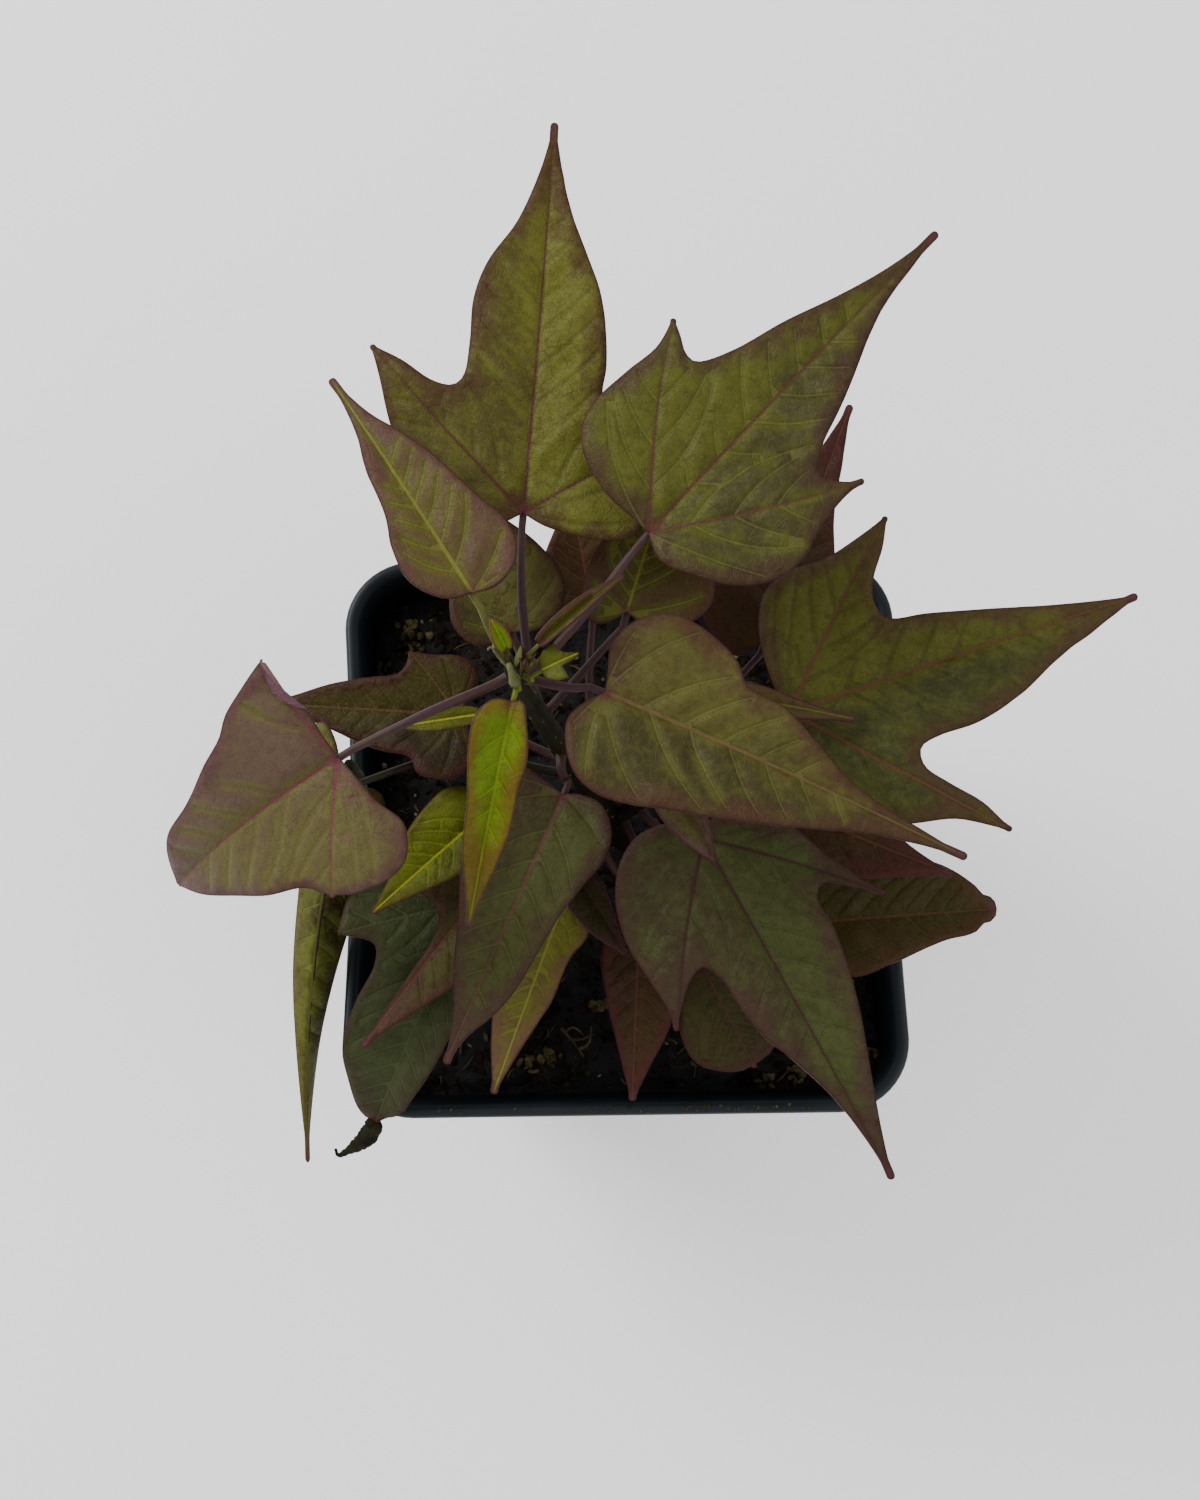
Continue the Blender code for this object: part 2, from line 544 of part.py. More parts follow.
def smooth_path(points, steps):
    """Points on a smooth curve through the given ones, however unevenly they are spaced."""
    points = [Vector(p) for p in points]
    ends = [2 * points[0] - points[1]] + points + [2 * points[-1] - points[-2]]
    path = []
    for a, b, c, d in zip(ends, ends[1:], ends[2:], ends[3:]):
        t1 = math.sqrt((b - a).length)
        t2 = t1 + math.sqrt((c - b).length)
        t3 = t2 + math.sqrt((d - c).length)
        for step in range(steps):
            t = t1 + (t2 - t1) * step / steps
            ab = a.lerp(b, t / t1)
            bc = b.lerp(c, (t - t1) / (t2 - t1))
            cd = c.lerp(d, (t - t2) / (t3 - t2))
            path.append(ab.lerp(bc, t / t2).lerp(bc.lerp(cd, (t - t1) / (t3 - t1)),
                                                 (t - t1) / (t2 - t1)))
    path.append(points[-1])
    return path


def tube(path, radii, name, collection, sides=2):
    """A round solid along a path, with a radius for each of its points."""
    curve = bpy.data.curves.new(name, "CURVE")
    curve.dimensions = "3D"
    curve.bevel_depth = MM
    curve.bevel_resolution = sides
    curve.use_fill_caps = True
    spline = curve.splines.new("POLY")
    spline.points.add(len(path) - 1)
    for place, radius, point in zip(path, radii, spline.points):
        point.co = (*(place * MM), 1.0)
        point.radius = radius
    return applied(new_object(name, curve, collection))


def stem_path(stem):
    return smooth_path(STEMS[stem]["path"], STALK_SPLINE_STEPS)


def stem_radii(stem, count):
    thick, thin = STEMS[stem]["radius"]
    return [thick + (thin - thick) * i / (count - 1) for i in range(count)]


def stem_station(stem, share):
    """Centre, direction and radius of a stem at a share of its path."""
    path = stem_path(stem)
    where = share * (len(path) - 1)
    index = min(int(where), len(path) - 2)
    centre = path[index].lerp(path[index + 1], where - index)
    thick, thin = STEMS[stem]["radius"]
    direction = (path[index + 1] - path[index]).normalized()
    return centre, direction, thick + (thin - thick) * share


def build_stem(collection):
    tubes = []
    for stem in STEMS:
        path = stem_path(stem)
        tubes.append(tube(path, stem_radii(stem, len(path)), "stem_" + stem, collection))
    stem = united(tubes, "vine_stem", collection)
    give_material(stem, colour(104, 104, 66), 0.55)
    return stem


# Leaves


def leaf_place(leaf, along, across):
    """Where a point of the flat leaf comes to lie on the bent blade, in millimetres.

    Also returns the blade's direction and its upward normal on the midrib there.
    """
    length = leaf["length"]
    share = min(max(along / length, 0.0), 1.0)
    pitch_start, pitch_end = (math.radians(a) for a in leaf["pitch"])
    start = math.radians(leaf["heading"])
    turn = math.radians(leaf["sweep"])
    place = Vector(leaf["junction"])
    for part in range(MIDRIB_PARTS):
        middle = share * (part + 0.5) / MIDRIB_PARTS
        slope = pitch_start + (pitch_end - pitch_start) * middle
        way = start + turn * middle
        step = Vector((math.cos(slope) * math.cos(way), math.cos(slope) * math.sin(way),
                       math.sin(slope)))
        place += step * (length * share / MIDRIB_PARTS)
    slope = pitch_start + (pitch_end - pitch_start) * share
    way = start + turn * share
    forward = Vector((math.cos(slope) * math.cos(way), math.cos(slope) * math.sin(way),
                      math.sin(slope)))
    side = Vector((-math.sin(way), math.cos(way), 0))
    normal = forward.cross(side)
    roll = math.radians(leaf["roll"])
    side, normal = (side * math.cos(roll) + normal * math.sin(roll),
                    normal * math.cos(roll) - side * math.sin(roll))
    place += forward * (along - share * length)
    fold = math.radians(leaf["fold"][0 if across > 0 else 1])
    droop = math.radians(leaf["droop"])
    width = abs(across)
    lateral = (math.sin(fold) - math.sin(fold - droop * width)) / droop
    lift = (math.cos(fold - droop * width) - math.cos(fold)) / droop
    phase = 0.0 if across > 0 else WAVE_SHIFT
    lift += (leaf["wave"] * math.sin(2 * math.pi * along / WAVE_LENGTH + phase)
             * min(width / WAVE_REACH, 1.0) ** 2)
    place += side * math.copysign(lateral, across) + normal * lift
    return place, forward, normal


def leaf_outline(leaf):
    """The flat leaf's edge as a loop of points, from the junction round by the tip."""
    left = [(p[0], p[1]) for p in leaf["left"]]
    right = [(p[0], -p[1]) for p in reversed(leaf["right"])]
    return [(0.0, 0.0)] + left + [(leaf["length"], 0.0)] + right


def inside(point, loop):
    x, y = point
    crossed = False
    for (x1, y1), (x2, y2) in zip(loop, loop[1:] + loop[:1]):
        if (y1 > y) != (y2 > y) and x < x1 + (y - y1) * (x2 - x1) / (y2 - y1):
            crossed = not crossed
    return crossed


def edge_distance(point, loop):
    spot = Vector(point)
    nearest = 1e9
    for a, b in zip(loop, loop[1:] + loop[:1]):
        a = Vector(a)
        b = Vector(b)
        share = min(max((spot - a).dot(b - a) / (b - a).length_squared, 0.0), 1.0)
        nearest = min(nearest, (spot - a.lerp(b, share)).length)
    return nearest


def blade_mesh(leaf, name):
    """The bent blade as an open sheet of triangles, with the midrib as one of its lines."""
    loop = leaf_outline(leaf)
    tip_index = loop.index((leaf["length"], 0.0))
    points = [Vector(p) for p in loop]
    edges = [(i, (i + 1) % len(loop)) for i in range(len(loop))]
    rib = [0]
    count = max(2, round(leaf["length"] / GRID_STEP))
    for i in range(1, count):
        rib.append(len(points))
        points.append(Vector((leaf["length"] * i / count, 0.0)))
    rib.append(tip_index)
    edges += list(zip(rib, rib[1:]))
    rows = int(max(abs(p[1]) for p in loop) / GRID_STEP)
    for row in range(-rows, rows + 1):
        for i in range(-1, count):
            spot = (leaf["length"] * (i + 0.5 * (row % 2)) / count, row * GRID_STEP)
            if row and inside(spot, loop) and edge_distance(spot, loop) > EDGE_CLEARANCE:
                points.append(Vector(spot))
    flat, _, faces, *_ = delaunay_2d_cdt(points, edges, [list(range(len(loop)))], 1, 1e-5)
    bm = bmesh.new()
    verts = [bm.verts.new(leaf_place(leaf, p.x, p.y)[0] * MM) for p in flat]
    for face in faces:
        bm.faces.new([verts[i] for i in face])
    bmesh.ops.recalc_face_normals(bm, faces=bm.faces)
    return mesh_from(bm, name)


def stalk_path(leaf):
    """Route of a stalk from the skin of its stem to the underside of its blade."""
    stem, share, between = leaf["stalk"]
    centre, direction, radius = stem_station(stem, share)
    junction, forward, normal = leaf_place(leaf, 0.0, 0.0)
    arrive = junction - forward * STALK_APPROACH - normal * (STALK_SINK + STALK_DIP)
    target = Vector(between[0]) if between else arrive
    if share >= 1.0:
        out = direction
        start = centre + out * GAP
    else:
        out = target - centre
        out = (out - direction * out.dot(direction)).normalized()
        start = centre + out * (radius + GAP)
    points = [start, start + out * STALK_LEAD]
    points += [Vector(p) for p in between]
    points += [arrive]
    path = smooth_path(points, STALK_SPLINE_STEPS)
    radii = [leaf["stalk_radius"]] * len(path)
    path.append(junction - normal * STALK_SINK)
    radii.append(leaf["stalk_radius"] * STALK_NECK)
    for station, rib in zip(RIB_STATIONS, RIB_RADII):
        place, _, up = leaf_place(leaf, station * leaf["length"], 0.0)
        path.append(place - up * RIB_SINK)
        radii.append(min(rib, leaf["stalk_radius"]))
    return path, radii


def build_leaf(name, collection):
    leaf = {**LEAF_DEFAULTS, **LEAVES[name]}
    blade = new_object(name + "_blade", blade_mesh(leaf, name), collection)
    thicken = blade.modifiers.new("thicken", "SOLIDIFY")
    thicken.thickness = BLADE * MM
    thicken.offset = 0.0
    blade = applied(blade)
    path, radii = stalk_path(leaf)
    stalk = tube(path, radii, name + "_stalk", collection, sides=1)
    pieces = [blade, stalk]
    if leaf["withered"]:
        pieces.append(tube([Vector(p) for p in leaf["withered"]], WITHERED_RADII,
                           name + "_withered", collection, sides=1))
    solid = united(pieces, name, collection)
    give_material(solid, leaf["colour"], 0.5)
    return solid


def main():
    clear_scene()
    collection = new_collection(COLLECTION)
    cutters = new_collection(CUTTERS)
    build_pot(collection, cutters)
    build_soil(collection, cutters)
    build_stem(collection)
    for name in LEAVES:
        build_leaf(name, collection)
    for item in list(cutters.objects):
        bpy.data.objects.remove(item, do_unlink=True)
    bpy.data.collections.remove(cutters)


main()
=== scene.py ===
"""Looks for an ornamental sweet potato vine in a square black nursery pot.

Tables are in millimetres and degrees. Meshes are built in metres, in the frame's own
place: the origin is the centre of the pot's underside, +Z is up and -Y is the front.
"""
import math
import random
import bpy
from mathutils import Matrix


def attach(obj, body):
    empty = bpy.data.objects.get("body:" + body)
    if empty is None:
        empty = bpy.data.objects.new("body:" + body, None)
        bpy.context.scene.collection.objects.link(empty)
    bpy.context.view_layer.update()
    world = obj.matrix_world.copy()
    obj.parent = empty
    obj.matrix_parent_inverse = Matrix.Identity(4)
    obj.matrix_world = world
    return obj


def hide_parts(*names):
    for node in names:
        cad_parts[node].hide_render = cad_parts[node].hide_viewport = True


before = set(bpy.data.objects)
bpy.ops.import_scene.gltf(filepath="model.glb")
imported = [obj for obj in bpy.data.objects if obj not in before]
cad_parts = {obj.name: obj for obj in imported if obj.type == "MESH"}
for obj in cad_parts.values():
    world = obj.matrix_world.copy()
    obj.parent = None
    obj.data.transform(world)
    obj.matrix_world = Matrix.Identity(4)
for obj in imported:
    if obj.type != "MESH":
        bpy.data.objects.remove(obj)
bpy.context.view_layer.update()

from types import SimpleNamespace

import bmesh
import bpy
import numpy as np
from mathutils import Matrix, Vector, noise
from mathutils.geometry import delaunay_2d_cdt

bl_info = {
    "name": "Sweet potato vine in a pot",
    "version": (1, 0, 0),
    "blender": (4, 5, 0),
    "location": "3D View > Sidebar > Vine",
    "description": "Builds a potted ornamental sweet potato vine around its packed solids",
    "category": "Object",
}

MM = 0.001
ROOT = "root"

# Photograph's camera, fitted to the rim of the pot
IMAGE_LONG_SIDE = 1500.0
FOCAL_PIXELS = 2339.0
SENSOR = 36.0
CAMERA_TARGET = (-3.8, 14.6, 88.0)
CAMERA_DISTANCE = 420.0
CAMERA_TILT = 11.0
CAMERA_ROLL = -0.8

# How much brighter the studio is than plain white light, and the grey that it lays on a skin
STUDIO_LEVEL = 1.15
SHEEN = 0.0075

# Pot
RIM_WIDTH = 100.0
RIM_DEPTH = 101.0
POT_HEIGHT = 88.0
BASE_WIDTH = 70.0
WALL = 1.1
FLOOR = 1.6
RIM_CORNER = 11.0
BASE_CORNER = 8.0
LIP_DEPTH = 6.0
LIP_STEP = 1.7
SIDE_BOW = 1.2
CORNER_STEPS = 12
SIDE_STEPS = 22
DRAIN_RADIUS = 4.5
DRAIN_PLACE = 22.0
DRAIN_SIDES = 40
LIP_FOOT = POT_HEIGHT - LIP_DEPTH

# Pot's wall, up the outside, over the rim and down the inside: height, how far in from
# the tapering side, and how far out for the lip
POT_PROFILE = (
    (0.0, 1.0), (0.25, 0.4), (1.0, 0.05), (2.2, 0.0), (LIP_FOOT - 9.0, 0.0),
    (LIP_FOOT - 8.4, -0.25), (LIP_FOOT - 1.0, -0.25), (LIP_FOOT - 0.3, 0.0, LIP_STEP * 0.75),
    (LIP_FOOT + 0.3, 0.0, LIP_STEP * 0.92), (LIP_FOOT + 1.2, 0.0, LIP_STEP * 0.95),
    (POT_HEIGHT - 1.3, 0.0, LIP_STEP), (POT_HEIGHT - 0.6, 0.0, LIP_STEP - 0.15),
    (POT_HEIGHT - 0.15, 0.0, LIP_STEP - 0.5), (POT_HEIGHT, 0.0, LIP_STEP - 1.0),
    (POT_HEIGHT, 0.0, LIP_STEP - 1.6), (POT_HEIGHT - 0.2, 0.35), (POT_HEIGHT - 0.7, 0.75),
    (POT_HEIGHT - 1.6, WALL - 0.1), (POT_HEIGHT - 4.0, WALL), (POT_HEIGHT - 12.0, WALL),
    (FLOOR + 1.0, WALL), (FLOOR, WALL + 1.0),
)

# Soil
SOIL_TOP = 79.0
SOIL_MOUND = 1.5
SOIL_GRID = 0.8
SOIL_MARGIN = 0.15
SOIL_ROUGHNESS = 0.25
WALL_DROP = 1.6
WALL_DROP_REACH = 2.2
FOOT_RAISE = 0.8
FOOT_RING = 3.5
SOIL_PROFILE = ((FLOOR + 0.3, WALL + 1.3), (FLOOR + 0.3 + 1.0, WALL + 0.3),
                (SOIL_TOP - 6.0, WALL + 0.3), (SOIL_TOP - 5.0, WALL + 3.0))
SOIL_WAVES = ((23.0, 0.7, 0.4), (11.0, 0.55, 1.7), (6.1, 0.4, 2.6), (3.3, 0.3, 0.9),
              (1.9, 0.2, 2.1))
BITS_REACH = 44.5
FIBRE_PARTS = 7
TAN_CHIPS = 110
MOSS_BITS = 240
RIM_CRUMBS_FRONT = 46
RIM_CRUMBS_SIDES = 10
TAN_LUMPS = ((-14.4, -40.0), (-13.2, -38.4), (-4.6, -30.5), (-20.5, -36.0), (42.0, -42.5),
             (-39.0, 40.0), (-36.8, 37.5), (38.0, -44.0), (44.0, -40.0), (31.0, -43.4),
             (25.0, -44.0), (-17.5, -40.5))
MOSS_HEAPS = ((-43.0, 30.0), (-42.0, 22.0), (-38.5, 38.0))
TWIGS = (
    ((-11.4, -34.4, 79.6), (-9.6, -36.6, 80.4), (-7.4, -39.6, 79.8)),
    ((-9.6, -36.6, 80.4), (-7.4, -36.4, 80.8), (-5.6, -35.6, 80.2)),
    ((-8.2, -38.2, 80.2), (-6.6, -37.4, 81.0), (-6.0, -34.2, 80.4)),
    ((-11.0, -35.2, 79.8), (-9.2, -34.4, 80.6), (-7.0, -36.2, 80.2)),
)

# Stems: middle line, and radius at the foot and at the top
STEMS = {
    "main": dict(
        path=((0, 0, 70), (0, 0, 81), (-3, 3, 92), (-7.5, 7, 108), (-12, 11, 124),
              (-15.5, 14.5, 138), (-17, 16, 148)),
        radius=(2.4, 1.3)),
    "right": dict(path=((-2, 2, 88), (3, 4, 96), (6.5, 5.5, 108), (7, 5.5, 121)),
                  radius=(1.8, 1.2)),
    "left": dict(path=((-1, 1, 85), (-7, -3, 92), (-12, -5.5, 100), (-14, -3, 110)),
                 radius=(1.8, 1.2)),
}
STEM_FOOT = 65.3
STEM_STEPS = 8
STEM_SIDES = 20
JOINT_SWELL = 0.25
JOINT_LENGTH = 0.022

# Growing tip: for each piece its middle line, radii, flatness and whether it is dry
TIP_SIDES = 12
TIP_PIECES = {
    "shoot": (((-17, 15.6, 147), (-16.8, 13.6, 149), (-17.6, 16, 151.4)),
              (0.95, 0.85, 0.4), 1.0, False),
    "scale_left": (((-17, 15, 149.6), (-19, 17.6, 150.6), (-19.8, 18.6, 152.4),
                    (-18.8, 18.6, 153.2)), (0.4, 0.9, 0.7, 0.1), 0.35, False),
    "scale_back": (((-16.6, 15.6, 149.8), (-15.6, 17.6, 151), (-16.6, 19.4, 152.6)),
                   (0.3, 0.9, 0.1), 0.35, True),
    "scale_right": (((-16.4, 15, 149.6), (-14.6, 16, 151), (-13.4, 17.4, 151.6)),
                    (0.3, 0.7, 0.1), 0.4, True),
    "bud_high": (((-16.8, 16, 150), (-16, 17, 152), (-15.6, 18, 154)),
                 (0.5, 0.6, 0.1), 0.6, False),
    "bud_low": (((-17, 15.6, 149.8), (-17.8, 17, 151.4), (-18, 18.8, 152.6)),
                (0.5, 0.5, 0.1), 0.6, True),
    "fibre_long": (((-15, 17.4, 151.6), (-14.6, 15, 151.8), (-14.4, 12.8, 150.8),
                    (-13.6, 11.6, 150.2)), (0.16, 0.2, 0.16, 0.08), 1.0, True),
    "fibre_short": (((-16, 17, 151.8), (-15.6, 15.4, 152.6), (-15.8, 13.6, 152)),
                    (0.14, 0.2, 0.08), 1.0, True),
}

# Leaf meshes
GRID = 1.15
FINE_GRID = 0.5
SMALL_LEAF = 15.0
BEND_STEPS = 160
WAVE_HEIGHT = 0.5
WAVE_LENGTH = 17.0
WAVE_REACH = 12.0
FULL_LEAF = 45.0
CURVE_STEPS = 6
RIB_STATIONS = (0.04, 0.09, 0.16, 0.24, 0.33, 0.44, 0.56, 0.7, 0.84)
SIDES = (("left", 1.0), ("right", -1.0))
TIP = 1
TIP_INSET = 0.12
TIP_REACH = 5.0
LOBE_BLUNT = 0.5
CREASES = (0.0, 0.22, 0.44, 0.9)
BROAD_WAVE = 12.0
SMALL_WAVE = 4.5
PUCKER_SLANT = 0.75
PUCKER_WIDTH = 3.8
PUCKER_LENGTH = 5.5
PUCKER_REACH = 7.5
EDGE_FADE = 2.5
SWELL_REACH = 1.4
RIB_DIP = 0.8
RIB_CALM = 1.2

# Stalks: how deep one starts in its stem, how far out its elbow is, how far before the
# junction it meets the blade and how deep under the skin it runs there
STALK_STEPS = 10
STALK_SIDES = 12
STALK_SLIM = 0.62
STALK_ROOT = 0.9
STALK_ELBOW = 1.9
STALK_ARRIVAL = 2.5
STALK_SINK = 0.3

# Veins: angles from the midrib in degrees, and how far a vein turns in each millimetre
LOBED_FAN = ((140, -1.6), (108, -1.0), (74, -0.6))
PLAIN_FAN = (0, 26, 52)
PLAIN_FAN_WIDEST = 130
PLAIN_FAN_NARROWEST = 58
PLAIN_FAN_TURN = -1.6
FAN_LEAF = 6.0
FAN_REACH = 4.0
FAN_MARGIN = 0.8
FAN_GAP = 13.0
SIDE_VEIN = 54
LOBE_VEIN = 44
LOBE_VEIN_GAP = 7.0
LOBE_VEIN_TURN = 0.05
NET_CLOSER = 0.72
EDGE_CLEAR = 1.0
VEIN_CLEAR = 1.1
LONGEST_VEIN = 60.0
LAST_VEIN = 0.88
RIB_SHARE = 0.985
RIB_HALF = 0.22
RIB_LEAST = 0.05
VEIN_HALF = 0.11
THIN_END = 0.04
RIB_END = 0.06
FAR = 9.0

# Screen colours of the leaves, a row for each tone: the parts are the two halves of a
# blade, painted as a lit half and a shaded half, its margin, side veins and ribs, and the
# green along the veins
TONE_PARTS = ("lit", "dark", "margin", "vein", "rib", "green")
PALETTES = {
    "olive": ((104, 104, 38), (88, 82, 38), (80, 54, 36), (84, 74, 40), (84, 46, 38),
              (108, 110, 38)),
    "olive_pale": ((98, 98, 38), (78, 74, 40), (80, 54, 44), (110, 112, 52), (96, 60, 46),
                   (112, 116, 40)),
    "olive_dark": ((76, 76, 28), (56, 58, 30), (68, 50, 34), (58, 48, 30), (86, 52, 38),
                   (76, 78, 30)),
    "plum": ((100, 88, 48), (106, 88, 60), (96, 64, 58), (114, 112, 52), (130, 130, 52),
             (108, 108, 40)),
    "mauve": ((98, 92, 52), (108, 90, 72), (92, 60, 60), (108, 72, 66), (114, 56, 66),
              (108, 110, 50)),
    "brown": ((92, 88, 42), (66, 64, 34), (82, 52, 42), (106, 104, 54), (110, 86, 58),
              (104, 104, 46)),
    "night": ((62, 66, 34), (58, 52, 32), (64, 44, 38), (60, 58, 36), (56, 32, 30),
              (66, 74, 36)),
    "night_brown": ((68, 70, 36), (62, 56, 36), (68, 46, 42), (82, 82, 44), (88, 58, 50),
                    (74, 78, 38)),
    "deep": ((64, 60, 30), (56, 50, 28), (66, 42, 36), (70, 62, 36), (84, 50, 44),
             (66, 64, 32)),
    "lime": ((102, 126, 4), (98, 116, 8), (112, 80, 30), (124, 142, 22), (126, 140, 34),
             (116, 140, 8)),
    "lime_dark": ((86, 92, 12), (70, 72, 16), (78, 72, 20), (112, 122, 26), (142, 142, 38),
                  (96, 106, 12)),
    "red": ((64, 56, 22), (44, 34, 20), (66, 38, 30), (76, 68, 26), (86, 64, 34),
            (70, 66, 24)),
    "wine": ((56, 40, 24), (44, 30, 20), (64, 34, 30), (66, 50, 28), (76, 44, 36),
             (60, 48, 26)),
    "netted": ((58, 56, 22), (50, 44, 24), (66, 42, 32), (82, 82, 30), (96, 94, 34),
               (68, 68, 26)),
    "dusk": ((54, 60, 34), (48, 52, 30), (50, 44, 30), (66, 72, 44), (62, 62, 40),
             (58, 66, 36)),
    "gold": ((86, 86, 28), (74, 66, 38), (90, 64, 50), (98, 98, 38), (108, 108, 42),
             (94, 96, 30)),
    "bronze": ((64, 58, 24), (68, 54, 26), (80, 56, 32), (78, 70, 30), (92, 60, 38),
               (68, 62, 22)),
    "hanging": ((100, 106, 40), (48, 42, 18), (76, 66, 28), (112, 112, 48), (96, 88, 42),
                (104, 110, 40)),
}
STALK_COLOURS = {
    "mauve": ((72, 48, 52), (76, 60, 40)),
    "pale": ((96, 96, 42), (80, 70, 40)),
    "lime": ((100, 112, 30), (90, 82, 36)),
    "dull": ((50, 46, 34), (44, 44, 28)),
}
